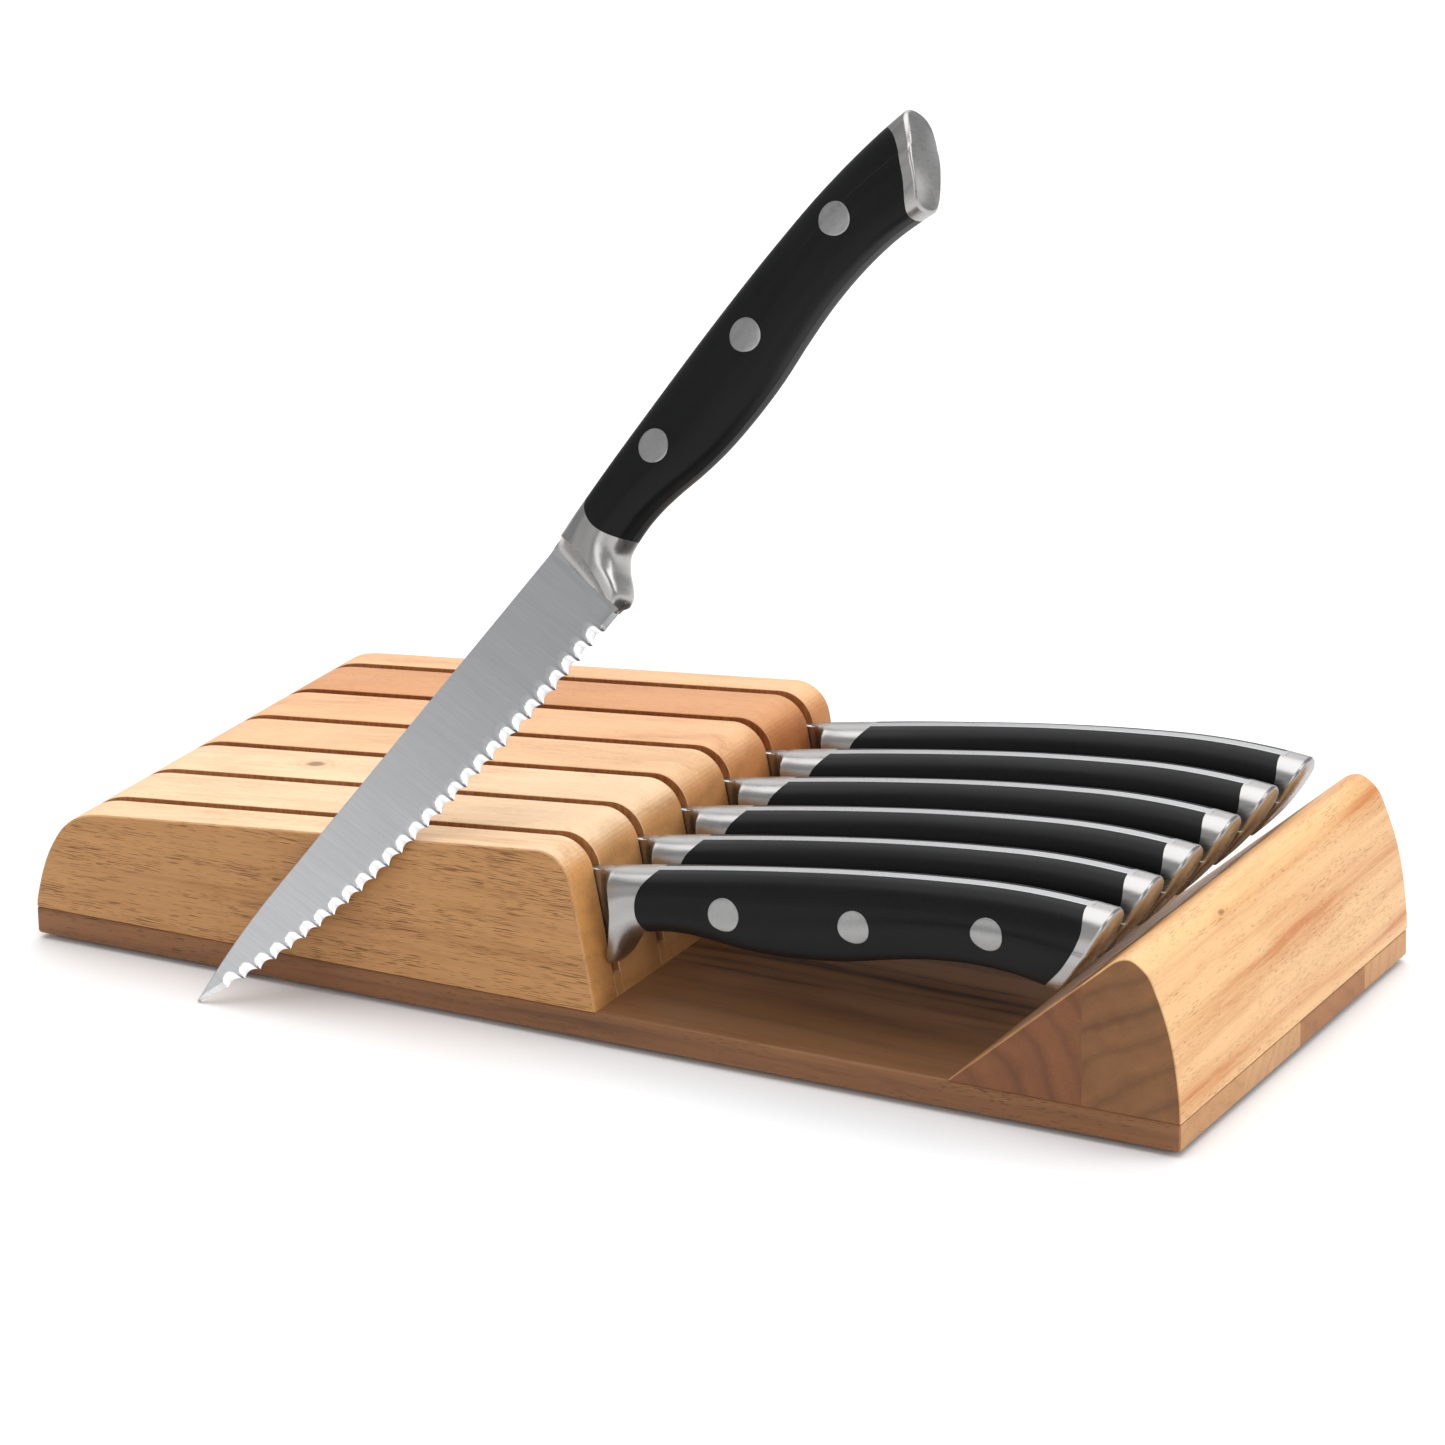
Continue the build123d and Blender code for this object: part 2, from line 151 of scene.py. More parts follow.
def grid_faces(rows, cols, base=0, flip=False):
    """Quads over a rows x cols block of points numbered row by row from base."""
    out = []
    for i in range(rows - 1):
        for j in range(cols - 1):
            a = base + i * cols + j
            q = (a, a + 1, a + cols + 1, a + cols)
            out.append(q[::-1] if flip else q)
    return out


# ------------------------------------------------------------------ materials
class Mat:
    """A node material with one Principled shader, and short names for its nodes."""

    def __init__(self, name):
        self.m = bpy.data.materials.new(name)
        self.m.use_nodes = True
        self.t = self.m.node_tree
        self.t.nodes.clear()
        out = self.add("ShaderNodeOutputMaterial")
        self.b = self.add("ShaderNodeBsdfPrincipled")
        self.t.links.new(self.b.outputs[0], out.inputs[0])

    def add(self, kind, **props):
        n = self.t.nodes.new(kind)
        for k, v in props.items():
            setattr(n, k, v)
        return n

    def put(self, socket, value):
        if isinstance(value, bpy.types.NodeSocket):
            self.t.links.new(value, socket)
        elif value is not None:
            socket.default_value = value

    def math(self, op, a, b=None, c=None, clamp=False):
        n = self.add("ShaderNodeMath", operation=op, use_clamp=clamp)
        for i, v in enumerate((a, b, c)):
            if v is not None:
                self.put(n.inputs[i], v)
        return n.outputs[0]

    def vec(self, op, a, b=None, scale=None):
        n = self.add("ShaderNodeVectorMath", operation=op)
        self.put(n.inputs[0], a)
        if b is not None:
            self.put(n.inputs[1], b)
        if scale is not None:
            self.put(n.inputs["Scale"], scale)
        return n.outputs["Value"] if op in ("LENGTH", "DOT_PRODUCT", "DISTANCE") else n.outputs["Vector"]

    def noise(self, vector, scale=1.0, detail=2.0, rough=0.5, colour=False, distort=0.0):
        n = self.add("ShaderNodeTexNoise", noise_dimensions="3D")
        self.put(n.inputs["Vector"], vector)
        n.inputs["Scale"].default_value = scale
        n.inputs["Detail"].default_value = detail
        n.inputs["Roughness"].default_value = rough
        n.inputs["Distortion"].default_value = distort
        return n.outputs["Color" if colour else "Fac"]

    def ramp(self, fac, stops, interpolation="LINEAR"):
        n = self.add("ShaderNodeValToRGB")
        n.color_ramp.interpolation = interpolation
        e = n.color_ramp.elements
        while len(e) < len(stops):
            e.new(0.5)
        for i, (p, c) in enumerate(stops):
            e[i].position = p
            e[i].color = (c, c, c, 1) if not isinstance(c, (tuple, list)) else (*c, 1)
        self.put(n.inputs[0], fac)
        return n.outputs[0]

    def span(self, v, a, b, c=0.0, d=1.0, smooth=False):
        n = self.add("ShaderNodeMapRange", interpolation_type="SMOOTHSTEP" if smooth else "LINEAR")
        self.put(n.inputs[0], v)
        for i, x in enumerate((a, b, c, d)):
            self.put(n.inputs[i + 1], x)
        return n.outputs[0]

    def mix(self, fac, a, b, blend="MIX"):
        n = self.add("ShaderNodeMix", data_type="RGBA", blend_type=blend)
        n.clamp_factor = True
        self.put(n.inputs[0], fac)
        self.put(n.inputs[6], a if isinstance(a, bpy.types.NodeSocket) else (*a, 1))
        self.put(n.inputs[7], b if isinstance(b, bpy.types.NodeSocket) else (*b, 1))
        return n.outputs[2]

    def combine(self, x, y, z):
        n = self.add("ShaderNodeCombineXYZ")
        for i, v in enumerate((x, y, z)):
            self.put(n.inputs[i], v)
        return n.outputs[0]

    def split(self, v):
        n = self.add("ShaderNodeSeparateXYZ")
        self.put(n.inputs[0], v)
        return n.outputs

    def bump(self, height, distance, strength=1.0, normal=None):
        n = self.add("ShaderNodeBump")
        n.inputs["Strength"].default_value = strength
        n.inputs["Distance"].default_value = distance
        self.put(n.inputs["Height"], height)
        if normal is not None:
            self.put(n.inputs["Normal"], normal)
        return n.outputs[0]


def lin(r, g, b):
    """Linear colour from 0-255 display values."""
    return tuple(((v / 255 + 0.055) / 1.055) ** 2.4 if v > 10 else v / 255 / 12.92 for v in (r, g, b))


def scaled(c, k):
    return tuple(min(1.0, v * k) for v in c)


def wood(
    name, light, dark, grain="X", offset=(0, 0, 0), tilt=(0, 0.01, 0.012), pith=(-70, -45), ring=5.0,
    contrast=0.5, pores=0.6, streak=0.35, mottle=0.35, end=(0.95, 0.78, 0.52), front=None, knots=(), pore_len=1.0,
    dense=0.0, rough=0.46, kerf=False, end_rings=0.3, side=None, end_tone=None, wobble=0.8,
):
    """Oiled hardwood. Growth rings lie round a pith line along the grain, so side, top and end faces
    of a piece show one and the same log. Short dark pores run with the grain and show as dots on end grain."""
    g = Mat(name)
    obj = g.add("ShaderNodeTexCoord").outputs["Object"]
    mm = g.vec("SCALE", obj, scale=1000.0)
    turn = g.add("ShaderNodeMapping", vector_type="POINT")
    turn.inputs["Location"].default_value = offset
    turn.inputs["Rotation"].default_value = (tilt[0], tilt[1], tilt[2] + (math.radians(-90) if grain == "Y" else 0))
    g.put(turn.inputs["Vector"], mm)
    p = turn.outputs[0]
    # slow wander of the fibres
    wander = g.noise(g.vec("MULTIPLY", p, (0.011, 0.05, 0.05)), 1.0, 2.0, 0.45, colour=True)
    wander = g.vec("SCALE", g.vec("SUBTRACT", wander, (0.5, 0.5, 0.5)), scale=7.0)
    q = g.vec("ADD", p, g.vec("MULTIPLY", wander, (0.0, 1.0, 1.0)))
    fine = g.noise(g.vec("MULTIPLY", p, (0.03, 0.3, 0.3)), 1.0, 3.0, 0.55)
    x, y, z = g.split(q)
    ry, rz = g.math("SUBTRACT", y, pith[0]), g.math("SUBTRACT", z, pith[1])
    radius = g.math("SQRT", g.math("ADD", g.math("MULTIPLY", ry, ry), g.math("MULTIPLY", rz, rz)))
    radius = g.math("ADD", radius, g.math("MULTIPLY", fine, ring * wobble))
    phase = g.math("FRACT", g.math("DIVIDE", radius, ring))
    rings = g.ramp(phase, [(0.0, 0.5), (0.2, 0.12), (0.6, 0.3), (0.88, 0.95), (1.0, 0.5)], "EASE")
    every = g.noise(g.combine(0.0, 0.0, g.math("DIVIDE", radius, ring * 1.7)), 1.0, 1.0)
    rings = g.math("MULTIPLY", rings, g.span(every, 0.32, 0.68, 0.3, 1.0))
    # fibres and tonal streaks along the grain
    fibres = g.noise(g.vec("MULTIPLY", q, (0.05, 2.3, 2.3)), 1.0, 5.0, 0.66)
    threads = g.noise(g.vec("MULTIPLY", q, (0.018, 0.75, 0.75)), 1.0, 3.0, 0.6)
    broad = g.noise(g.vec("MULTIPLY", q, (0.007, 0.13, 0.13)), 1.0, 2.0, 0.5)
    cloud = g.noise(g.vec("MULTIPLY", p, (0.03, 0.07, 0.07)), 1.0, 2.0, 0.5)
    tone = g.math("MULTIPLY", rings, contrast)
    tone = g.math("ADD", tone, g.span(fibres, 0.3, 0.7, -0.45 * streak, 0.45 * streak))
    tone = g.math("ADD", tone, g.span(threads, 0.3, 0.7, -0.35 * streak, 0.35 * streak))
    tone = g.math("ADD", tone, g.span(broad, 0.3, 0.7, -0.6 * mottle, 0.6 * mottle))
    tone = g.math("ADD", tone, g.span(cloud, 0.3, 0.7, -0.25 * mottle, 0.25 * mottle))
    tone = g.math("ADD", tone, 0.2, clamp=True)
    mid = tuple(0.6 * a + 0.4 * b for a, b in zip(light, dark))
    colour = g.ramp(tone, [(0.0, scaled(light, 1.07)), (0.25, light), (0.62, mid), (1.0, dark)])
    # pores: short open vessels, in drifts
    cell = g.noise(g.vec("MULTIPLY", p, (0.27 / pore_len, 6.4, 6.4)), 1.0, 1.0, 0.5)
    where = g.noise(g.vec("MULTIPLY", q, (0.03, 0.3, 0.3)), 1.0, 2.0, 0.5)
    cut = g.span(where, 0.35, 0.65, 0.72 - dense, 0.60 - dense)
    pore = g.math("SUBTRACT", cell, cut)
    pore = g.span(pore, 0.0, 0.06, 0.0, 1.0, smooth=True)
    normal = g.add("ShaderNodeNewGeometry").outputs["True Normal"]
    lit = None
    if front is not None:
        lit = g.span(g.vec("DOT_PRODUCT", normal, (0, -1, 0)), 0.4, 0.9, 0.0, 1.0, smooth=True)
        pore = g.math("MULTIPLY", pore, g.math("ADD", g.math("MULTIPLY", lit, 0.8), 0.2))
    colour = g.mix(g.math("MULTIPLY", pore, pores), colour, scaled(dark, 0.5))
    # end grain drinks more oil and shows the rings as bands
    axis = (0, 1, 0) if grain == "Y" else (1, 0, 0)
    face = g.math("ABSOLUTE", g.vec("DOT_PRODUCT", normal, axis))
    face = g.span(face, 0.55, 0.95, 0.0, 1.0, smooth=True)
    speck = g.noise(g.vec("MULTIPLY", p, (0.6, 2.6, 2.6)), 1.0, 3.0, 0.7)
    blotch = g.noise(g.vec("MULTIPLY", p, (0.1, 0.14, 0.14)), 1.0, 2.0, 0.5)
    deep = g.mix(g.span(speck, 0.35, 0.65), end, scaled(end, 0.78))
    deep = g.mix(g.span(blotch, 0.35, 0.7, 0.0, 0.6), deep, scaled(end, 1.15))
    deep = g.mix(g.math("MULTIPLY", rings, end_rings), deep, scaled(end, 0.55))
    under = g.mix(0.6, colour, light) if end_tone is None else g.mix(0.8, colour, end_tone)
    colour = g.mix(face, colour, g.mix(1.0, under, deep, "MULTIPLY"))
    # painted shade: faces turned to the front (-Y) have their colour multiplied by the front tint
    if front is not None:
        colour = g.mix(lit, colour, g.mix(1.0, colour, front, "MULTIPLY"))
    # painted light: faces turned to +X have their colour multiplied by the side tint
    if side is not None:
        lit = g.span(g.vec("DOT_PRODUCT", normal, (1, 0, 0)), 0.6, 0.95, 0.0, 1.0, smooth=True)
        colour = g.mix(lit, colour, g.mix(1.0, colour, side, "MULTIPLY"))
    if kerf:  # sawn walls of the slots: rough, their colour darkened brown
        wy = g.math("ABSOLUTE", g.vec("DOT_PRODUCT", normal, (0, 1, 0)))
        wall = g.span(wy, 0.8, 0.97, 0.0, 1.0, smooth=True)
        yy = g.split(mm)[1]
        inside = g.math("MULTIPLY", g.span(yy, Y0 + 1.0, Y0 + 2.0), g.span(yy, Y0 + WIDTH - 2.0, Y0 + WIDTH - 1.0, 1.0, 0.0))
        wall = g.math("MULTIPLY", wall, inside)
        saw = g.noise(g.vec("MULTIPLY", mm, (1.4, 0.5, 0.12)), 1.0, 3.0, 0.6)
        wall_brown = g.mix(g.span(saw, 0.35, 0.65), (0.56, 0.36, 0.20), (0.38, 0.22, 0.11))
        colour = g.mix(wall, colour, g.mix(1.0, colour, wall_brown, "MULTIPLY"))
    for centre, size, strength in knots:
        k = g.vec("MULTIPLY", g.vec("SUBTRACT", mm, centre), tuple(1.0 / s for s in size))
        near = g.vec("LENGTH", g.vec("ADD", k, g.vec("SCALE", wander, scale=0.05)))
        halo = g.span(near, 1.0, 3.2, 1.0, 0.0, smooth=True)
        core = g.span(near, 0.55, 1.15, 1.0, 0.0, smooth=True)
        eye = g.math("MULTIPLY", g.math("SINE", g.math("MULTIPLY", near, 8.0)), 0.5)
        colour = g.mix(g.math("MULTIPLY", halo, g.math("ADD", g.math("MULTIPLY", eye, 0.25), 0.3 * strength)), colour, dark)
        colour = g.mix(g.math("MULTIPLY", core, strength), colour, scaled(dark, 0.35))
    g.put(g.b.inputs["Base Color"], colour)
    r = g.span(fibres, 0.25, 0.75, rough - 0.06, rough + 0.08)
    r = g.math("ADD", r, g.math("MULTIPLY", pore, 0.16))
    r = g.math("ADD", r, g.math("MULTIPLY", face, 0.1))
    g.put(g.b.inputs["Roughness"], r)
    height = g.math("SUBTRACT", g.math("MULTIPLY", fibres, 0.35), g.math("MULTIPLY", pore, 0.9))
    height = g.math("ADD", height, g.math("MULTIPLY", g.math("MULTIPLY", speck, face), 0.4))
    g.put(g.b.inputs["Normal"], g.bump(height, 0.00006, 0.5))
    g.b.inputs["IOR"].default_value = 1.45
    return g.m


def steel(name, tint, rough, lean=None, fine=5.0, line=0.04, bump=0.2, shade=None, wear=0.2, detail=2.0, painted_gradient=None):
    """Brushed stainless. The brush lines lie in the knife's own frame, lean degrees off the line
    from the spine to the edge; None is an even satin."""
    g = Mat(name)
    k = g.add("ShaderNodeAttribute", attribute_name="knife_mm").outputs["Vector"]
    along_u = g.split(k)[0]
    index = g.add("ShaderNodeObjectInfo").outputs["Object Index"]
    if lean is not None:
        turn = g.add("ShaderNodeMapping", vector_type="POINT")
        turn.inputs["Rotation"].default_value = (0, math.radians(lean), 0)
        g.put(turn.inputs["Vector"], k)
        k = turn.outputs[0]
    k = g.vec("ADD", k, g.combine(g.math("MULTIPLY", index, 37.7), 0.0, g.math("MULTIPLY", index, 11.3)))
    if lean is not None:
        a, b, c = (1.0, 0.2, 0.014), (0.2, 0.1, 0.004), (0.05, 0.05, 0.03)
    else:
        a, b, c = (1.0, 1.0, 1.0), (0.2, 0.2, 0.2), (0.05, 0.05, 0.05)
    lines = g.noise(g.vec("MULTIPLY", k, a), fine, detail, 0.6)
    wide = g.noise(g.vec("MULTIPLY", k, b), fine, 2.0, 0.6)
    smudge = g.noise(g.vec("MULTIPLY", k, c), 1.0, 3.0, 0.55)
    tone = g.math("ADD", g.span(lines, 0.3, 0.7, -line, line), g.span(wide, 0.3, 0.7, -line * 0.5, line * 0.5))
    tone = g.math("ADD", tone, g.span(smudge, 0.3, 0.7, 0.98, 1.02))
    # painted light: the colour brightens along the blade from the bolster towards the tip
    if painted_gradient:
        tone = g.math("MULTIPLY", tone, g.span(along_u, *painted_gradient, smooth=True))
    colour = g.mix(1.0, tint, g.combine(tone, tone, tone), "MULTIPLY")
    # painted light on the hollow grind: positive values darken the colour as painted shade, negative values whiten it
    # as painted highlight
    if shade:
        painted_scallop_light = g.add("ShaderNodeAttribute", attribute_name=shade).outputs["Fac"]
        painted_highlight = g.math("MULTIPLY", painted_scallop_light, -1.0, clamp=True)
        colour = g.mix(g.math("MULTIPLY", painted_scallop_light, 1.0, clamp=True), colour, g.mix(1.0, colour, (0.16, 0.16, 0.165), "MULTIPLY"))
        colour = g.mix(painted_highlight, colour, (0.96, 0.96, 0.955))
    g.put(g.b.inputs["Base Color"], colour)
    g.b.inputs["Metallic"].default_value = 1.0
    r = g.span(lines, 0.3, 0.7, rough - 0.04, rough + 0.05)
    r = g.math("ADD", r, g.span(smudge, 0.4, 0.7, 0.0, wear * 0.3))
    g.put(g.b.inputs["Roughness"], r)
    g.put(g.b.inputs["Normal"], g.bump(g.math("ADD", lines, g.math("MULTIPLY", wide, 0.6)), 0.00001, bump))
    return g.m


def polymer(name):
    """Black handle material, satin, finely brushed across the handle, a little polished by use."""
    g = Mat(name)
    k = g.add("ShaderNodeAttribute", attribute_name="knife_mm").outputs["Vector"]
    index = g.add("ShaderNodeObjectInfo").outputs["Object Index"]
    k = g.vec("ADD", k, g.combine(g.math("MULTIPLY", index, 23.1), 0.0, g.math("MULTIPLY", index, 7.9)))
    lines = g.noise(g.vec("MULTIPLY", k, (1.0, 0.25, 0.12)), 4.2, 4.0, 0.7)
    grainy = g.noise(k, 3.5, 3.0, 0.7)
    touch = g.noise(g.vec("MULTIPLY", k, (0.04, 0.08, 0.1)), 1.0, 3.0, 0.55)
    tone = g.ramp(lines, [(0.3, (0.0028, 0.0029, 0.0032)), (0.7, (0.0062, 0.0063, 0.0067))])
    tone = g.mix(g.span(touch, 0.45, 0.75, 0.0, 0.5), tone, (0.0068, 0.0068, 0.0072))
    g.put(g.b.inputs["Base Color"], tone)
    r = g.math("ADD", g.span(lines, 0.3, 0.7, 0.36, 0.46), g.span(touch, 0.35, 0.7, -0.03, 0.05))
    g.put(g.b.inputs["Roughness"], r)
    g.put(g.b.inputs["Normal"], g.bump(g.math("ADD", lines, g.math("MULTIPLY", grainy, 0.5)), 0.00001, 0.35))
    g.b.inputs["IOR"].default_value = 1.5
    g.b.inputs["Specular IOR Level"].default_value = 0.17
    return g.m


def plain_metal(name, tint, rough, scale=900.0):
    g = Mat(name)
    obj = g.add("ShaderNodeTexCoord").outputs["Object"]
    n = g.noise(obj, scale, 4.0, 0.6)
    g.put(g.b.inputs["Base Color"], g.ramp(n, [(0.3, scaled(tint, 0.85)), (0.7, tint)]))
    g.b.inputs["Metallic"].default_value = 1.0
    g.put(g.b.inputs["Roughness"], g.span(n, 0.3, 0.7, rough - 0.06, rough + 0.1))
    g.put(g.b.inputs["Normal"], g.bump(n, 0.00002, 0.3))
    return g.m


def rubber(name):
    g = Mat(name)
    obj = g.add("ShaderNodeTexCoord").outputs["Object"]
    n = g.noise(obj, 1500.0, 4.0, 0.65)
    dust = g.noise(obj, 120.0, 3.0, 0.6)
    tone = g.ramp(n, [(0.3, (0.016, 0.016, 0.016)), (0.7, (0.028, 0.028, 0.027))])
    g.put(g.b.inputs["Base Color"], g.mix(g.span(dust, 0.5, 0.75, 0.0, 0.5), tone, (0.06, 0.057, 0.053)))
    g.put(g.b.inputs["Roughness"], g.span(n, 0.3, 0.7, 0.72, 0.9))
    g.put(g.b.inputs["Normal"], g.bump(n, 0.00005, 0.5))
    return g.m


# ------------------------------------------------------------------ wooden parts
def block_profile():
    top_left = (19.0, TOP_H + 19.0 * TOP_TAN)
    cz = (TOP_H + END_X * TOP_TAN + BASE * END_TAN * TOP_TAN) / (1 + END_TAN * TOP_TAN)
    cx = END_X - (cz - BASE) * END_TAN
    pts = spline(
        [(0, 6.2), (0.9, 10.9), (2.4, 15.9), (4.75, 21.1), (8, 25.7), (12.4, 28.75), top_left],
        30, (0, 1), (1, TOP_TAN),
    ).tolist()
    # rounded corner
    d1 = Vector((1, TOP_TAN)).normalized()
    d2 = Vector((END_TAN, -1)).normalized()
    turn = d1.angle(d2)
    back = 7.6 * math.tan(turn / 2)
    a = Vector((cx, cz)) - d1 * back
    b = Vector((cx, cz)) + d2 * back
    n1 = Vector((d1.y, -d1.x))
    centre = a + n1 * 7.6
    for x in np.linspace(top_left[0], a.x, 9)[1:-1]:
        pts.append((x, TOP_H + x * TOP_TAN))
    for i in range(13):
        t = turn * i / 12
        v = a - centre
        pts.append(tuple(centre + Vector((v.x * math.cos(t) + v.y * math.sin(t), -v.x * math.sin(t) + v.y * math.cos(t)))))
    pts.append((b.x + (END_X - b.x) * 0.5, b.y + (BASE - b.y) * 0.5))
    pts.append((END_X, BASE))
    return [(X0 + x, Z0 + z) for x, z in pts]


def rest_outline():
    ramp = Vector((254.7 - 218.85, 37.6 - 6.2))
    curve = spline(
        [(254.7, 37.6), (258.5, 39.2), (262.2, 37.1), (265.2, 31.4), (267.8, 23.5), (269.35, 14.7), (270, 6.2)],
        44, tuple(ramp), (0, -1),
    ).tolist()
    return [(X0 + x, Z0 + z) for x, z in [(218.85, 6.2), (236.8, 21.9)] + curve]


def prism(name, profile, ya, yb, bevel, keep=None, segments=3):
    """Profile in XZ swept along Y, its corners eased. keep(a, b) says which edges are eased."""
    n = len(profile)
    verts = [(x, ya, z) for x, z in profile] + [(x, yb, z) for x, z in profile]
    faces = [tuple(range(n)), tuple(range(2 * n - 1, n - 1, -1))]
    faces += [(i, (i + 1) % n, n + (i + 1) % n, n + i) for i in range(n)]
    me = mesh_from(name, verts, faces, weld=0)
    bm = bmesh.new()
    bm.from_mesh(me)
    layer = bm.edges.layers.float.get("bevel_weight_edge") or bm.edges.layers.float.new("bevel_weight_edge")
    for e in bm.edges:
        if len(e.link_faces) == 2 and e.calc_face_angle() > math.radians(28):
            a, b = e.verts[0].co * 1000, e.verts[1].co * 1000
            w = 1.0 if keep is None else keep(a, b)
            e[layer] = w
    bm.to_mesh(me)
    bm.free()
    ob = bpy.data.objects.new(name, me)
    bpy.context.scene.collection.objects.link(ob)
    m = ob.modifiers.new("ease", "BEVEL")
    m.width = bevel * MM
    m.segments = segments
    m.limit_method = "WEIGHT"
    m.use_clamp_overlap = True
    return ob


def baked(ob):
    """The object's mesh with its modifiers applied; the object itself is removed."""
    dg = bpy.context.evaluated_depsgraph_get()
    dg.update()
    me = bpy.data.meshes.new_from_object(ob.evaluated_get(dg), depsgraph=dg)
    old = ob.data
    bpy.data.objects.remove(ob)
    bpy.data.meshes.remove(old)
    return me


def lathe_cutter(name, places, profile, seg=36):
    verts, faces = [], []
    for cx, cy in places:
        base = len(verts)
        for r, z in profile:
            for i in range(seg):
                a = 2 * math.pi * i / seg
                verts.append((cx + r * math.cos(a), cy + r * math.sin(a), z))
        for k in range(len(profile) - 1):
            for i in range(seg):
                j = (i + 1) % seg
                faces.append((base + k * seg + i, base + k * seg + j, base + (k + 1) * seg + j, base + (k + 1) * seg + i))
        faces.append(tuple(base + i for i in reversed(range(seg))))
        faces.append(tuple(base + (len(profile) - 1) * seg + i for i in range(seg)))
    ob = bpy.data.objects.new(name, mesh_from(name, verts, faces, weld=0))
    bpy.context.scene.collection.objects.link(ob)
    return ob


BLOCK_SCREWS = [(X0 + sx, (SLOT_Y[i] + SLOT_Y[i + 1]) / 2) for i in (0, 4) for sx in (30.0, 112.0)]
REST_SCREWS = [(X0 + 256.5, Y0 + 25.3), (X0 + 256.5, Y0 + 88.5)]
hole = [(3.65, Z0 - 0.2), (3.6, Z0), (1.85, Z0 + 2.2), (1.85, Z0 + 15.8)]
cutter = lathe_cutter("screw_clearance", BLOCK_SCREWS + REST_SCREWS, hole)


def drilled(ob):
    m = ob.modifiers.new("holes", "BOOLEAN")
    m.operation = "DIFFERENCE"
    m.solver = "EXACT"
    m.object = cutter
    return ob


PALE, PALE_D = lin(236, 202, 164), lin(196, 146, 100)
TAN, TAN_D = lin(232, 190, 148), lin(188, 134, 86)
PEACH, PEACH_D = lin(233, 184, 140), lin(188, 126, 82)
# tint that paints shade on the slats' faces turned to the front
FRONT_SHADE = (0.53, 0.392, 0.232)
slat_looks = [
    dict(light=scaled(PALE, 1.06), dark=PALE_D, offset=(11, 3, 7), pith=(-66, -90), ring=5.2, contrast=0.34, front=FRONT_SHADE, pores=0.85, pore_len=1.35,
         mottle=0.28, streak=0.5, dense=0.055, end=(0.792, 0.561, 0.300)),
    dict(light=lin(240, 208, 172), dark=PALE_D, offset=(97, 23, 41), pith=(-20, -120), ring=6.0, contrast=0.3, mottle=0.3, pores=0.3, end=(0.732, 0.512, 0.288),
         knots=[((2.3, -37.2, 24.0), (2.0, 1.1, 0.9), 0.8)]),
    dict(light=lin(241, 208, 172), dark=TAN_D, offset=(-53, 61, 13), pith=(30, -70), ring=4.6, contrast=0.35, mottle=0.3, pores=0.3, end=(0.720, 0.512, 0.288),
         knots=[((-88.0, -17.5, 34.5), (2.4, 1.6, 3.0), 0.75)]),
    dict(light=TAN, dark=TAN_D, offset=(31, -44, 83), pith=(0, -90), ring=5.4, contrast=0.4, mottle=0.3, pores=0.3, end=(0.768, 0.573, 0.350)),
    dict(light=PEACH, dark=PEACH_D, offset=(143, 17, -29), pith=(60, -50), ring=5.0, contrast=0.45, mottle=0.3, pores=0.3, end=(0.768, 0.561, 0.338)),
    dict(light=lin(212, 154, 106), dark=PEACH_D, offset=(-87, 5, 61), pith=(44, -100), ring=4.8, contrast=0.4, mottle=0.3, pores=0.3, end=(0.744, 0.537, 0.338)),
    dict(light=lin(235, 188, 145), dark=PEACH_D, offset=(19, 71, -47), pith=(70, -60), ring=6.2, contrast=0.35, mottle=0.3, pores=0.3, end=(0.744, 0.537, 0.338)),
]
for look in slat_looks:
    r, g_, b_ = look["light"]
    look["light"] = (r * 0.98, g_ * 0.93, b_ * 0.86)
profile = block_profile()
edges_y = [Y0] + SLOT_Y + [Y0 + WIDTH]
for i in range(7):
    ya = edges_y[i] + (0 if i == 0 else SLOT / 2)
    yb = edges_y[i + 1] - (0 if i == 6 else SLOT / 2)
    def slat_edges(a, b):
        """Square on the base, sanded round outside, only just broken along the slots."""
        if max(a.z, b.z) < Z0 + BASE + 0.1:
            return 0.0
        outside = abs(a.y - Y0) < 0.1 or abs(a.y - Y0 - WIDTH) < 0.1
        return 1.0 if outside else 0.38

    ob = prism(f"slat_{i + 1}", profile, ya, yb, 0.8, keep=slat_edges)
    if i in (1, 5):
        drilled(ob)
    me = baked(ob)
    finish_mesh(me, 32, wood(f"wood_slat_{i + 1}", kerf=True, **slat_looks[i]))
    place(f"block_slat_{i + 1}_wood", me, "stand", [f"block_slat_{i + 1}"])

# tint that paints shade on the front face of the base's front stave
BASE_FRONT_SHADE = (0.86, 0.77, 0.63)
STAVE_ENDS = [lin(222, 168, 116), lin(232, 180, 128), lin(188, 130, 84), lin(226, 172, 120)]
# the staves' colours are the wood's own dark tone, lowered further to paint the shade that the knives cast on the
# base's top
stave_looks = [
    dict(light=lin(142, 99, 65), dark=lin(86, 54, 33), offset=(5, 9, 3), pith=(-40, -30), ring=4.5, contrast=0.5, mottle=0.45, pores=0.75,
         front=BASE_FRONT_SHADE, streak=0.3, pore_len=0.7, dense=0.01),
    dict(light=lin(138, 95, 62), dark=lin(78, 48, 29), offset=(81, -35, 19), pith=(20, -20), ring=3.6, contrast=0.75, mottle=0.95, pores=0.4, streak=0.35),
    dict(light=lin(138, 95, 62), dark=lin(78, 48, 29), offset=(-61, 27, 43), pith=(-15, -35), ring=5.5, contrast=0.7, mottle=0.9, pores=0.4, streak=0.35),
    dict(light=lin(156, 109, 71), dark=lin(94, 59, 35), offset=(47, 59, -31), pith=(35, -15), ring=4.0, contrast=0.6, mottle=0.6, pores=0.4, streak=0.35),
]
y = Y0
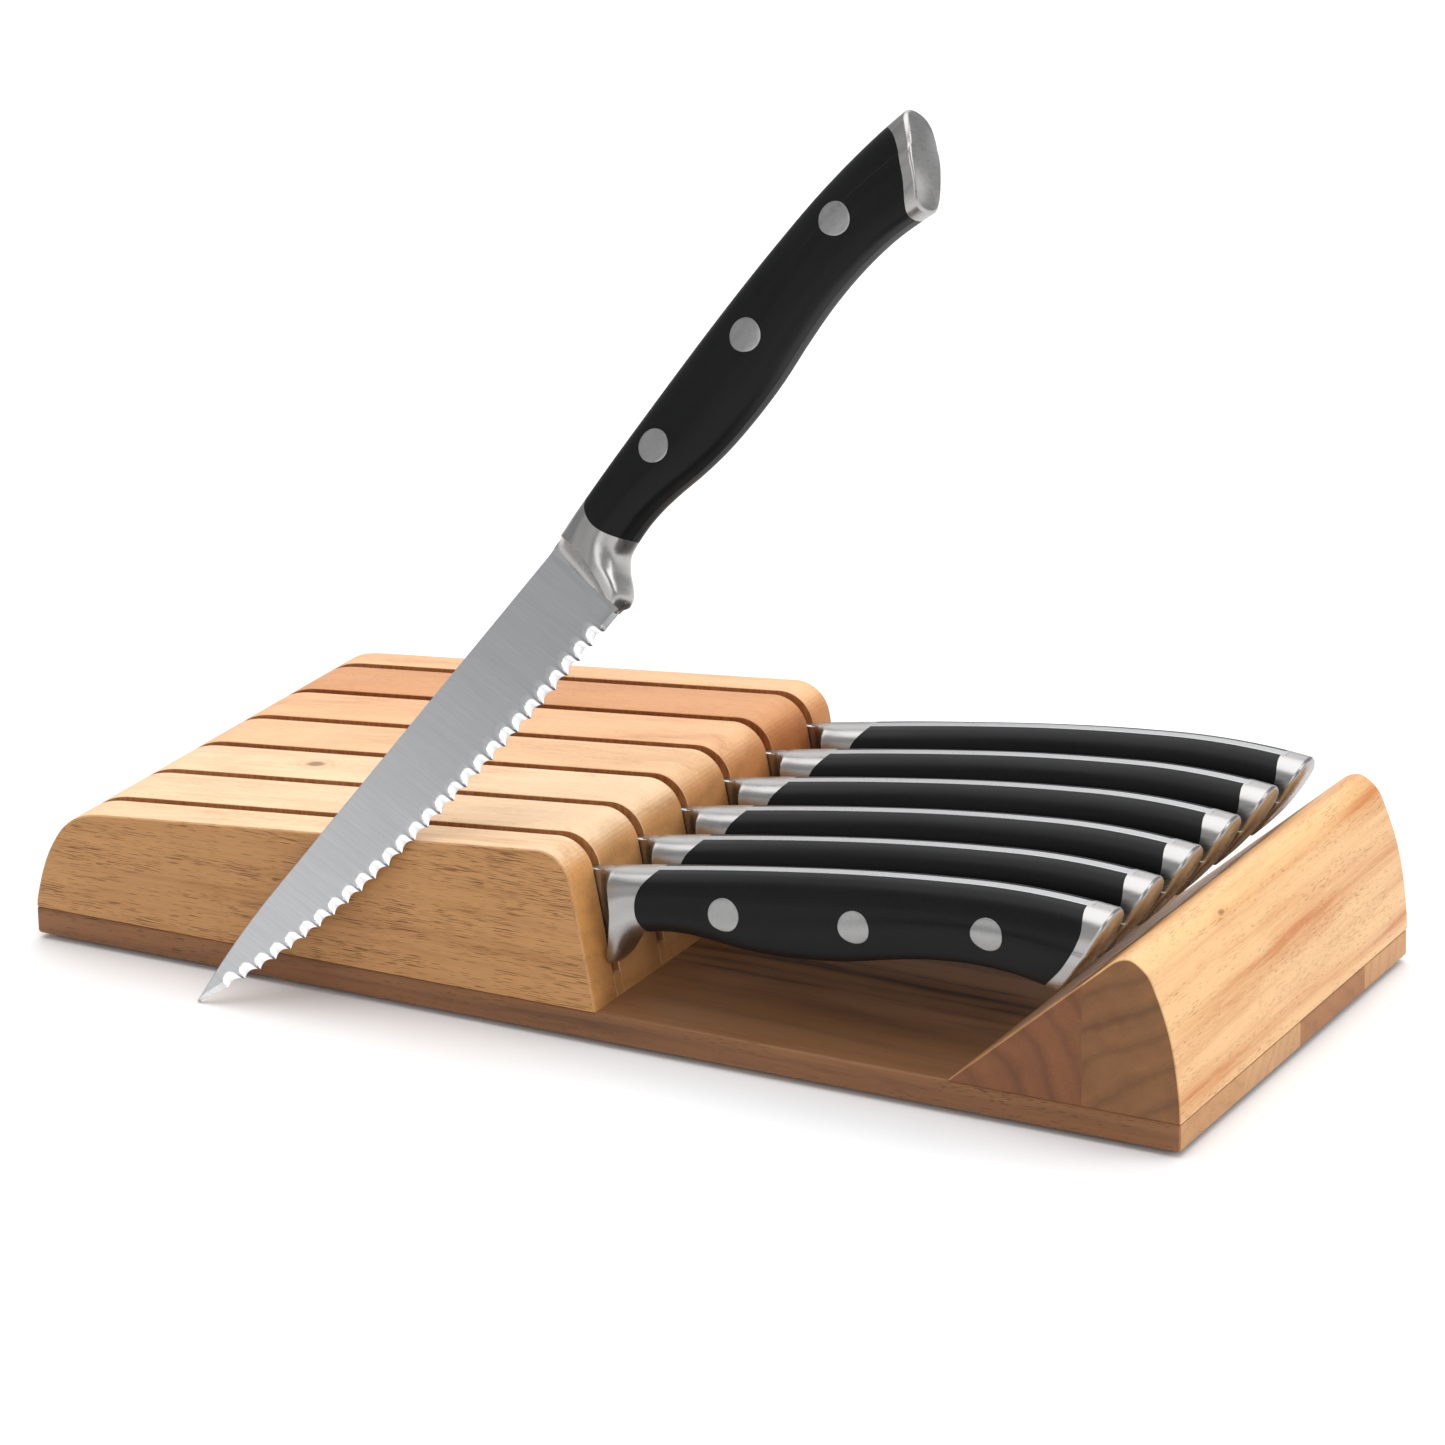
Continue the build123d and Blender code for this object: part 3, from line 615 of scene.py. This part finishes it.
for i, w in enumerate(STAVES):
    rect = [(X0, Z0), (X0, Z0 + BASE), (X0 + LENGTH, Z0 + BASE), (X0 + LENGTH, Z0)]

    def outer(a, b, lo=y, hi=y + w, first=(i == 0), last=(i == 3)):
        """Edges along the glue lines stay square; the board's outside edges are eased."""
        if abs(a.y - b.y) > 1:
            return 1.0
        if abs(a.y - lo) < 0.01:
            return 1.0 if first else 0.0
        return 1.0 if last else 0.0

    ob = prism(f"stave_{i + 1}", rect, y, y + w, 0.8, keep=outer)
    drilled(ob)
    me = baked(ob)
    finish_mesh(me, 32, wood(f"wood_stave_{i + 1}", end=(0.98, 0.97, 0.95), end_tone=STAVE_ENDS[i], end_rings=0.45, **stave_looks[i]))
    place(f"base_stave_{i + 1}_wood", me, "stand", [f"base_stave_{i + 1}"])
    y += w

outline = rest_outline()
seam_x = X0 + 248.5
ramp_z = Z0 + BASE + (248.5 - 218.85) * (37.6 - 6.2) / (254.7 - 218.85)
inner = [(X0 + 218.85, Z0 + BASE), (X0 + 236.8, Z0 + BASE + (236.8 - 218.85) * (31.4 / 35.85)), (seam_x, ramp_z), (seam_x, Z0 + BASE)]
outer_piece = [(seam_x, Z0 + BASE), (seam_x, ramp_z)] + [p for p in outline[2:]]


def rest_edges(a, b):
    if max(a.z, b.z) < Z0 + BASE + 0.1:
        return 0.0
    if abs(a.x - seam_x) < 0.01 and abs(b.x - seam_x) < 0.01:
        return 0.0
    return 1.0


ob = prism("rest_inner", inner, Y0, Y0 + WIDTH, 0.5, keep=rest_edges)
me = baked(ob)
finish_mesh(me, 32, wood(
    "wood_rest_inner", lin(206, 152, 104), lin(150, 94, 58), grain="Y", offset=(9, 13, 5), pith=(5, -35), ring=7.5, contrast=0.4,
    mottle=0.35, end=(0.36, 0.25, 0.195), pores=0.3, end_rings=0.95, wobble=0.3))
place("end_rest_inner_wood", me, "stand", ["end_rest_inner"])
ob = drilled(prism("rest_outer", outer_piece, Y0, Y0 + WIDTH, 0.5, keep=rest_edges))
me = baked(ob)
finish_mesh(me, 32, wood(
    "wood_rest_outer", lin(235, 188, 134), lin(206, 134, 76), grain="Y", offset=(17, -5, 11), pith=(-205, -91), ring=6.6, contrast=0.55,
    mottle=0.72, end=(0.285, 0.20, 0.135), pores=0.55, pore_len=0.6, streak=0.42, dense=0.02, end_rings=1.1, wobble=0.25,
    knots=[((127.0, -22.0, 38.0), (0.7, 1.6, 0.7), 0.7), ((129.5, -38.0, 33.0), (0.5, 1.2, 0.5), 0.6)]))
place("end_rest_outer_wood", me, "stand", ["end_rest_outer"])

strip_wood = wood("wood_slot_strips", lin(232, 190, 146), lin(184, 130, 84), offset=(3, 3, 3), ring=4.0, contrast=0.4, end=(0.82, 0.60, 0.36), pores=0.3)
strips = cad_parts["slot_floor_strips"]
strips.data.materials.clear()
strips.data.materials.append(strip_wood)

# feet: moulded pads with a rounded rim and a shallow dish underneath
foot_profile = [(0.0, 1.2), (5.9, 1.2), (6.3, 1.12), (6.5, 0.9), (6.5, 0.5), (6.35, 0.18), (6.0, 0.02), (5.4, 0.0), (4.6, 0.06), (3.0, 0.22), (0.0, 0.28)]
verts, faces = [], []
SEG = 56
for cx in (-119.0, 119.0):
    for cy in (-44.2, 44.2):
        base = len(verts)
        for r, z in foot_profile:
            for i in range(SEG):
                a = 2 * math.pi * i / SEG
                verts.append((cx + r * math.cos(a), cy + r * math.sin(a), z))
        for k in range(len(foot_profile) - 1):
            for i in range(SEG):
                j = (i + 1) % SEG
                faces.append((base + k * SEG + i, base + k * SEG + j, base + (k + 1) * SEG + j, base + (k + 1) * SEG + i))
me = mesh_from("feet", verts, faces)
finish_mesh(me, 40, rubber("rubber_black"))
place("rubber_feet_moulded", me, "stand", ["rubber_feet"])

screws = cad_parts["base_screws"]
screws.data.materials.clear()
screws.data.materials.append(plain_metal("zinc_screw", (0.55, 0.54, 0.5), 0.34))

bpy.data.objects.remove(cutter)

# ------------------------------------------------------------------ one knife
# Knife frame: u from the bolster line towards the butt, w up towards the spine,
# t out of the left side. A point is stored as (u, -t, w).
SPINE = [(0.0, 0.0), (13.0, 0.9), (24.5, 1.85), (41.0, 3.0), (60.0, 3.95), (79.0, 4.25), (92.0, 4.05), (103.0, 3.2), (112.0, 1.95), (126.0, -1.2)]
BELLY = [
    (12.6, -12.2), (16.5, -11.8), (21.0, -11.9), (26.5, -12.7), (32.5, -13.9), (39.0, -14.8), (47.5, -15.1), (58.0, -14.6),
    (67.5, -13.3), (77.0, -12.4), (86.5, -12.5), (96.5, -13.9), (102.4, -15.6), (112.0, -19.0), (126.0, -24.0),
]
GUARD = [(0.35, -20.2), (1.6, -20.35), (3.7, -19.7), (5.0, -18.2), (6.9, -15.3), (9.2, -13.1), (12.6, -12.2)]
top_of = curve_fn(SPINE)
bottom_of = curve_fn([GUARD[0]] + GUARD[1:] + BELLY[1:], 900)
front_of = curve_fn([(-12.4, 12.9), (-8.8, 11.55), (-4.9, 11.1), (-1.6, 12.2), (1.2, 14.8)])
cap_of = curve_fn([(-16.9, 99.6), (-16.2, 100.6), (-13.3, 104.0), (-9.8, 107.6), (-5.6, 110.6), (-1.6, 112.2), (2.2, 111.6)])
butt_of = curve_fn([(-18.5, 102.5), (-16.6, 105.0), (-12.5, 109.2), (-8.0, 112.6), (-4.0, 115.2), (0.0, 117.2), (2.2, 117.6)])


def chaikin(p, times):
    """Corner cutting, ends kept."""
    for _ in range(times):
        a, b = p[:-1], p[1:]
        q = np.empty((2 * len(a),) + p.shape[1:])
        q[0::2] = 0.75 * a + 0.25 * b
        q[1::2] = 0.25 * a + 0.75 * b
        q[0], q[-1] = p[0], p[-1]
        p = q
    return p


def section(u):
    """Left half of the handle's section at u: (t, w) from the strip's edge at the spine to the belly."""
    top, bottom = float(top_of(u)), float(bottom_of(u))
    deep = top - bottom
    r = 0.66 - 0.15 * float(smoothstep(10, 112, u))
    s = min(deep, 19.0)
    pts = np.array([
        (1.3, 0.0), (3.3, 0.4 * s / 17), (5.3, 1.9 * s / 17), (6.35, 4.3 * s / 17), (6.62, 0.40 * deep),
        (6.95, (r - 0.10) * deep), (7.05, r * deep), (6.45, (r + 0.12) * deep), (5.3, 0.90 * deep), (3.6, 0.985 * deep), (0.0, deep),
    ])
    c = chaikin(pts, 3)
    return c[:, 0], top - c[:, 1]


N_PHI = len(section(50.0)[0])


def solve(limit, shrink=0.0):
    """For each point round the half section, the u where the surface meets a border given as u(w)."""
    u = np.full(N_PHI, float(limit(-6.0)))
    for _ in range(12):
        for j in range(N_PHI):
            t, w = section(u[j])
            u[j] = float(limit(w[j]))
    return u


_cache = {}


def at(u, j):
    key = round(float(u), 4)
    if key not in _cache:
        _cache[key] = section(key)
    t, w = _cache[key]
    return t[j], w[j]


def side_t(u, w):
    """Half width of the handle at (u, w)."""
    t, ww = section(u)
    return float(np.interp(-w, -ww, t))


U_FRONT = solve(front_of)
U_CAP = solve(cap_of)
U_BUTT = solve(butt_of)


def inner_t(u, w):
    """Inner face of a scale: against the tang above, closed on the middle plane below it."""
    top, bottom = float(top_of(u)), float(bottom_of(u))
    edge = bottom + 3.6
    return 1.3 * float(smoothstep(edge - 0.3, edge + 0.3, w))


def scale_mesh(name, sign, lo, hi, stations, material):
    """One handle scale, closed on its inner face and both ends."""
    outer, inner_pts = [], []
    ease = 0.18
    for k in range(stations):
        v = k / (stations - 1)
        end = min(v * (stations - 1), (1 - v) * (stations - 1))
        for j in range(N_PHI):
            u = lo[j] + (hi[j] - lo[j]) * v
            t, w = at(u, j)
            drop = 0.06 if end < 0.5 else 0.0
            outer.append((u, -sign * max(t - drop, 0.0), w))
            if j == 0:
                ti = t
            elif j == N_PHI - 1:
                ti = t
            else:
                ti = min(inner_t(u, w), t)
            inner_pts.append((u, -sign * ti, w))
    n = len(outer)
    faces = grid_faces(stations, N_PHI) + grid_faces(stations, N_PHI, n, True)
    for k in (0, stations - 1):
        for j in range(N_PHI - 1):
            a = k * N_PHI + j
            faces.append((a, a + 1, n + a + 1, n + a))
    return mesh_from(name, outer + inner_pts, faces)


def tube_mesh(name, rows, close_start=True, close_end=True):
    """rows[k][j] = (u, t, w) round the left half; mirrored to the right and closed across t at both ends."""
    verts = []
    m = len(rows[0])
    for row in rows:
        for u, t, w in row:
            verts.append((u, -t, w))
    half = len(verts)
    for row in rows:
        for u, t, w in row:
            verts.append((u, t, w))
    faces = grid_faces(len(rows), m) + grid_faces(len(rows), m, half, True)
    for k in range(len(rows) - 1):  # across the spine and the belly
        for j in (0, m - 1):
            a, b = k * m + j, (k + 1) * m + j
            faces.append((a, b, half + b, half + a))
    for k, wanted in ((0, close_start), (len(rows) - 1, close_end)):
        if wanted:
            for j in range(m - 1):
                a = k * m + j
                faces.append((a, a + 1, half + a + 1, half + a))
    return mesh_from(name, verts, faces)


# blade ------------------------------------------------------------
TEETH, TOOTH, DEPTH, START = 28, 4.05, 1.0, 4.6
BL, BH = 125.0, 20.35


def edge_drop(u):
    x = max(0.0, (u - 22.0) / 103.0)
    return BH - 7.0 * x * x / (x + 0.08) - 11.27 * x**4


def spine_fall(u):
    x = max(0.0, (u - 95.0) / (BL - 95.0))
    return 2.6 * x * x


def blade_mesh():
    cols = []  # (u measured from the bolster towards the tip, phase in the scallop or None)
    for u in np.linspace(-3.0, 0.0, 4)[:-1]:
        cols.append((u, None))
    for u in np.linspace(0.0, START, 10)[:-1]:
        cols.append((u, None))
    per = 16
    last = START + TEETH * TOOTH
    for i in range(TEETH):
        for k in range(per):
            s = -1 + 2 * k / per
            cols.append((START + (i + (s + 1) / 2) * TOOTH, (i, s)))
    for u in np.linspace(last, BL - 0.02, 14):
        cols.append((u, None))
    rows_low, rows_mid = 8, 12
    left, right, painted_scallop_light = [], [], []
    for u, sc in cols:
        uu = max(u, 0.0)
        half = 1.0 + (0.55 - 1.0) * min(1.0, max(0.0, u) / BL)
        spine = -spine_fall(uu) if u > 0 else -u * 0.07
        fillet = 0.28 * float(smoothstep(3.5, 0.0, u)) ** 2
        if sc is None:
            if u >= last:
                x = (u - last) / (BL - last)
                low = -(edge_drop(last) * (1 - x) + (spine_fall(BL) + 0.05) * x)
                band = 1.6 * (1 - x) ** 0.6 + 0.05
            else:
                low = -BH + (0.06 * (-u) if u < 0 else 0.0)
                band = 1.0 + 0.3 * min(1.0, uu / START)
            g = 0.0
        else:
            i, s = sc
            a, b = START + i * TOOTH, START + (i + 1) * TOOTH
            ya, yb = -edge_drop(a), -edge_drop(b)
            chord = ya + (yb - ya) * (s + 1) / 2
            # the notch is a little deeper towards the handle end of each scallop
            g = DEPTH * (1 - s * s) * (1 - 0.16 * s)
            low = chord + g
            band = 0.7 + 1.45 * (1 - s * s) ** 0.62
        span_h = spine - low
        edge_t = 0.11
        full = lambda w: 0.45 + (half - 0.45) * min(1.0, max(0.0, (w + 20.35) / 19.35))
        face_t = lambda w: full(w) + fillet * min(1.0, (w + 21) / 8)
        band = min(band, span_h * 0.6)
        bound = low + band
        for k in range(rows_low):
            f = k / (rows_low - 1)
            w = low + band * f
            if sc is None:
                t = edge_t + (face_t(bound) - edge_t) * f
            else:
                # hollow grind: one concave curve from the very edge up to the flat of the blade
                base_t = -0.18
                t = base_t + (face_t(bound) - base_t) * f**1.1
            left.append((u, t, w))
            # painted light on each scallop: +1 (painted shade) at its handle end, -1 (painted highlight) over the rest
            # of the grind
            shade = 0.0
            if sc is not None:
                shade = -1.0 + 2.0 * float(smoothstep(-0.62, -0.9, sc[1]))
            painted_scallop_light.append(shade if f < 0.999 or sc is None else 0.35 * shade)
            tr = 0.1 + (face_t(bound) - 0.1) * (1 - (1 - f) ** 2)
            if sc is not None:
                tr = 0.30 + (face_t(bound) - 0.30) * f
            right.append((u, -tr, w))
        for k in range(1, rows_mid):
            f = k / (rows_mid - 1)
            w = bound + (spine - bound) * f
            t = face_t(w)
            if k == rows_mid - 1:
                t *= 0.72
            elif k == rows_mid - 2:
                w = spine - 0.22
                t = face_t(w)
            left.append((u, t, w))
            painted_scallop_light.append(0.0)
            right.append((u, -t, w))
    m = rows_low + rows_mid - 1
    n = len(left)
    verts = [(-u, -t, w) for u, t, w in left] + [(-u, -t, w) for u, t, w in right]
    faces = grid_faces(len(cols), m) + grid_faces(len(cols), m, n, True)
    for c in range(len(cols) - 1):
        a, b = c * m, (c + 1) * m
        faces.append((a, b, n + b, n + a))
        a, b = a + m - 1, b + m - 1
        faces.append((a, b, n + b, n + a))
    for c in (0, len(cols) - 1):
        for j in range(m - 1):
            a = c * m + j
            faces.append((a, a + 1, n + a + 1, n + a))
    # tang: a bar along the spine of the handle
    us = np.linspace(13.2, 112.6, 90)
    base = len(verts)
    for u in us:
        tw = float(top_of(u))
        for t, w in ((1.3, tw - 7.0), (1.3, tw - 0.12), (1.12, tw + 0.03), (0, tw + 0.06), (-1.12, tw + 0.03), (-1.3, tw - 0.12), (-1.3, tw - 7.0)):
            verts.append((u, -t, w))
    for k in range(len(us) - 1):
        for j in range(7):
            a, b = base + k * 7 + j, base + k * 7 + (j + 1) % 7
            faces.append((a, b, b + 7, a + 7))
    faces.append(tuple(base + j for j in range(7)))
    faces.append(tuple(base + (len(us) - 1) * 7 + j for j in reversed(range(7))))
    me = bpy.data.meshes.new("blade")
    me.from_pydata([(x * MM, y * MM, z * MM) for x, y, z in verts], [], faces)
    a = me.attributes.new("painted_scallop_light", "FLOAT", "POINT")
    values = np.zeros(len(verts), np.float32)
    values[: len(painted_scallop_light)] = painted_scallop_light
    a.data.foreach_set("value", values)
    bm = bmesh.new()
    bm.from_mesh(me)
    bmesh.ops.remove_doubles(bm, verts=bm.verts, dist=1e-7)
    bmesh.ops.recalc_face_normals(bm, faces=bm.faces)
    bm.to_mesh(me)
    bm.free()
    return me


# bolster ----------------------------------------------------------
face_edge = curve_fn([(-21.0, 1.0), (-19.5, 1.35), (-16.5, 2.7), (-12.5, 4.2), (-8.0, 4.9), (-4.0, 4.6), (0.0, 3.8), (2.0, 3.5)])


def face_half(t, w):
    """Half width of the bolster's outer face: the handle's own section, drawn in towards the heel."""
    guard = 7.4 - 3.6 * max(0.0, min(1.0, (-w - 9.5) / 10.9)) ** 1.2
    return float(smin(t, guard, 0.7)) if t > 0.7 else t


def clear_of_block(t, u, w):
    """The collar stays inside the slot until it is past the sloping end of the block."""
    tilt = math.radians(4.6)
    x = 133.9 + u * math.cos(tilt) - w * math.sin(tilt)
    z = 33.9 + u * math.sin(tilt) + w * math.cos(tilt)
    past = x - (END_X - (z - BASE) * END_TAN)
    room = 1.17 + 4.0 * max(0.0, past - 0.12)
    return float(smin(t, room, 0.12)) if t > 0.9 else t


def bolster_rows():
    """From the blade, a hollow fillet climbs to a crisp arc, and the satin face runs on to the scales."""
    edge = np.full(N_PHI, 4.0)
    for _ in range(14):
        for j in range(N_PHI):
            edge[j] = float(face_edge(at(max(edge[j], 0.4), j)[1]))
    rows = []
    for v in np.linspace(0, 1, 26):
        row = []
        for j in range(N_PHI):
            u = edge[j] * v
            t, w = at(max(u, 0.35), j)
            t = face_half(t, w)
            if t > 1.15:
                t = 1.15 + (t - 1.15) * v**1.75
            row.append((u, max(clear_of_block(t, u, w), 0.0), w))
        rows.append(row)
    for v in np.linspace(0, 1, 44)[1:]:
        row = []
        for j in range(N_PHI):
            u = edge[j] + (U_FRONT[j] - edge[j]) * v
            t, w = at(max(u, 0.35), j)
            row.append((u, max(clear_of_block(face_half(t, w), u, w), 0.0), w))
        rows.append(row)
    return rows


def cap_rows():
    rows = []
    steps, r = 14, 0.9
    for k in range(steps):
        v = k / (steps - 1)
        row = []
        for j in range(N_PHI):
            u = U_CAP[j] + (U_BUTT[j] - r - U_CAP[j]) * v
            t, w = at(u, j)
            row.append((u, t, w))
        rows.append(row)
    for a in np.radians([18, 36, 54, 72, 90]):
        row = []
        for j in range(N_PHI):
            u = U_BUTT[j] - r + r * math.sin(a)
            t, w = at(U_BUTT[j] - r, j)
            pull = r * (1 - math.cos(a))
            mid = -8.0
            row.append((u, max(0.0, t - pull * min(1.0, t / 3.0)), w - pull * 0.8 * np.sign(w - mid) * min(1.0, abs(w - mid) / 6.0)))
        rows.append(row)
    return rows


def rivet_mesh():
    verts, faces = [], []
    seg, rings = 48, [0.0, 0.6, 1.2, 1.8, 2.4, 3.0, 3.3, 3.5, 3.58]
    for cu, cw in ((31.9, -5.4), (61.7, -5.4), (91.6, -4.2)):
        for sign in (1, -1):
            base = len(verts)
            for k, r in enumerate(rings + [3.58]):
                for i in range(seg):
                    a = 2 * math.pi * i / seg
                    u, w = cu + r * math.cos(a), cw + r * math.sin(a)
                    if k == len(rings):
                        t = 0.0
                    else:
                        t = side_t(u, w) + 0.04 * (r / 3.58) ** 2 + (0.07 if k < len(rings) - 2 else 0.035 if k == len(rings) - 2 else -0.09)
                    verts.append((u, -sign * t, w))
            for k in range(len(rings)):
                for i in range(seg):
                    j = (i + 1) % seg
                    q = (base + k * seg + i, base + k * seg + j, base + (k + 1) * seg + j, base + (k + 1) * seg + i)
                    faces.append(q)
    return mesh_from("rivets", verts, faces)


STEEL = steel("steel_blade", (0.56, 0.56, 0.565), 0.30, lean=9.0, fine=6.0, line=0.065, bump=0.2, shade="painted_scallop_light", wear=0.1, painted_gradient=(-112.0, 0.0, 1.34, 0.80))
SATIN = steel("steel_bolster", (0.405, 0.397, 0.388), 0.29, lean=90.0, fine=2.2, line=0.03, bump=0.0, wear=0.08)
PINS = steel("steel_rivet", (0.345, 0.342, 0.338), 0.38, fine=1.6, line=0.06, bump=0.08, wear=0.15)
BLACK = polymer("handle_black")

knife_meshes = {}
me = blade_mesh()
finish_mesh(me, 24, STEEL, knife=True)
knife_meshes["blade"] = (me, "blade_steel")
me = tube_mesh("bolster", bolster_rows())
finish_mesh(me, 38, SATIN, knife=True)
knife_meshes["bolster"] = (me, "bolster_steel")
me = tube_mesh("end_cap", cap_rows())
finish_mesh(me, 38, SATIN, knife=True)
knife_meshes["end_cap"] = (me, "bolster_steel")
for side, sign in (("left", 1), ("right", -1)):
    me = scale_mesh(f"scale_{side}", sign, U_FRONT, U_CAP, 84, BLACK)
    finish_mesh(me, 40, BLACK, knife=True)
    knife_meshes[f"scale_{side}"] = (me, "handle_black")
me = rivet_mesh()
finish_mesh(me, 40, PINS, knife=True)
knife_meshes["rivets"] = (me, "rivet_steel")

placements = {
    f"knife_{i + 1}": Matrix.Translation(Vector((X0 + 133.9, SLOT_Y[i], Z0 + 33.9)) * MM) @ Matrix.Rotation(math.radians(-4.6), 4, "Y")
    for i in range(6)
}
along = Vector((0.5552, 0.3063, 0.7733)).normalized()
rim = Vector((1, 0, TOP_TAN)).normalized()
normal = rim.cross(along).normalized()
if normal.z < 0:
    normal = -normal
up = normal.cross(along).normalized()
touch = Vector((X0 + 86.0, Y0, Z0 + TOP_H + 86.0 * TOP_TAN)) + normal * 1.3
start = touch + up * 9.0
rise = (start.z - up.z * 2.6 - along.z * BL) - 0.3
origin = start - along * (rise / along.z)
across = up.cross(along)
rot = Matrix((along, across, up)).transposed().to_4x4()
placements["leaning_knife"] = Matrix.Translation(origin * MM) @ rot

for n, (knife, matrix) in enumerate(placements.items()):
    for part, (me, slot_name) in knife_meshes.items():
        own = me.copy()
        own.transform(matrix)
        place(f"{knife}_{part}_detailed", own, knife, [f"{knife}_{part}"], index=n + 1)

# ------------------------------------------------------------------ floor, light, camera
floor = bpy.data.meshes.new("floor")
bm = bmesh.new()
bmesh.ops.create_grid(bm, x_segments=2, y_segments=2, size=9.0)
bm.to_mesh(floor)
bm.free()
floor_ob = bpy.data.objects.new("studio_floor", floor)
bpy.context.scene.collection.objects.link(floor_ob)
g = Mat("studio_white")
soft = g.noise(g.add("ShaderNodeTexCoord").outputs["Object"], 3.0, 2.0, 0.5)
g.put(g.b.inputs["Base Color"], g.ramp(soft, [(0.3, (0.93, 0.93, 0.93)), (0.7, (0.945, 0.945, 0.945))]))
g.b.inputs["Roughness"].default_value = 0.75
g.b.inputs["Specular IOR Level"].default_value = 0.15
floor.materials.append(g.m)


def softbox(name, at_point, target, size_x, size_y, radiance, colour=(1, 1, 1)):
    lamp = bpy.data.lights.new(name, "AREA")
    lamp.shape = "RECTANGLE"
    lamp.size, lamp.size_y = size_x, size_y
    lamp.energy = radiance * math.pi * size_x * size_y
    lamp.color = colour
    ob = bpy.data.objects.new(name, lamp)
    bpy.context.scene.collection.objects.link(ob)
    ob.location = at_point
    ob.rotation_mode = "QUATERNION"
    ob.rotation_quaternion = (Vector(target) - Vector(at_point)).to_track_quat("-Z", "Y")
    return ob


softbox("overhead", (-0.15, 0.3, 1.5), (-0.1, 0.25, 0), 2.0, 2.4, 2.0)
softbox("right_back", (1.35, 0.6, 0.85), (0.05, 0, 0.03), 0.8, 0.8, 2.8, (1.0, 0.995, 0.985))
softbox("front_high", (0.85, -1.5, 1.0), (0, 0, 0.05), 1.0, 0.9, 2.0)
softbox("front_card", (0.45, -2.1, 0.38), (0, 0, 0.08), 1.2, 0.5, 1.2)
softbox("front_left", (-1.15, -1.5, 0.75), (0, 0, 0.08), 1.2, 0.9, 0.35)
softbox("back_card", (-0.95, 1.9, 0.95), (0, 0, 0.05), 1.6, 0.9, 1.0)

world = bpy.data.worlds.new("studio")
bpy.context.scene.world = world
world.use_nodes = True
bg = world.node_tree.nodes.get("Background") or world.node_tree.nodes.new("ShaderNodeBackground")
bg.inputs["Color"].default_value = (0.97, 0.98, 1.0, 1)
bg.inputs["Strength"].default_value = 0.42

# camera: long lens, looking down at the block from the front right
R = (
    (0.88167906, 0.47156846, -0.0162856),
    (0.14692581, -0.30717455, -0.94024284),
    (-0.44839139, 0.82659965, -0.34011495),
)
K = 0.7105
eye = Vector(((1052.68705707 - 190) * K, (-1501.95880811 - 81.92) * K, 723.04156015 * K + 1.2)) * MM
cam_data = bpy.data.cameras.new("camera")
cam_data.sensor_fit = "HORIZONTAL"
cam_data.sensor_width = 36.0
cam_data.lens = 160.716
cam_data.clip_start, cam_data.clip_end = 0.05, 60.0
cam = bpy.data.objects.new("camera", cam_data)
bpy.context.scene.collection.objects.link(cam)
cam.matrix_world = Matrix((
    (R[0][0], -R[1][0], -R[2][0], eye.x),
    (R[0][1], -R[1][1], -R[2][1], eye.y),
    (R[0][2], -R[1][2], -R[2][2], eye.z),
    (0, 0, 0, 1),
))
bpy.context.scene.camera = cam
bpy.context.scene.view_settings.view_transform = "Standard"
bpy.context.scene.view_settings.look = "None"

bpy.context.view_layer.update()
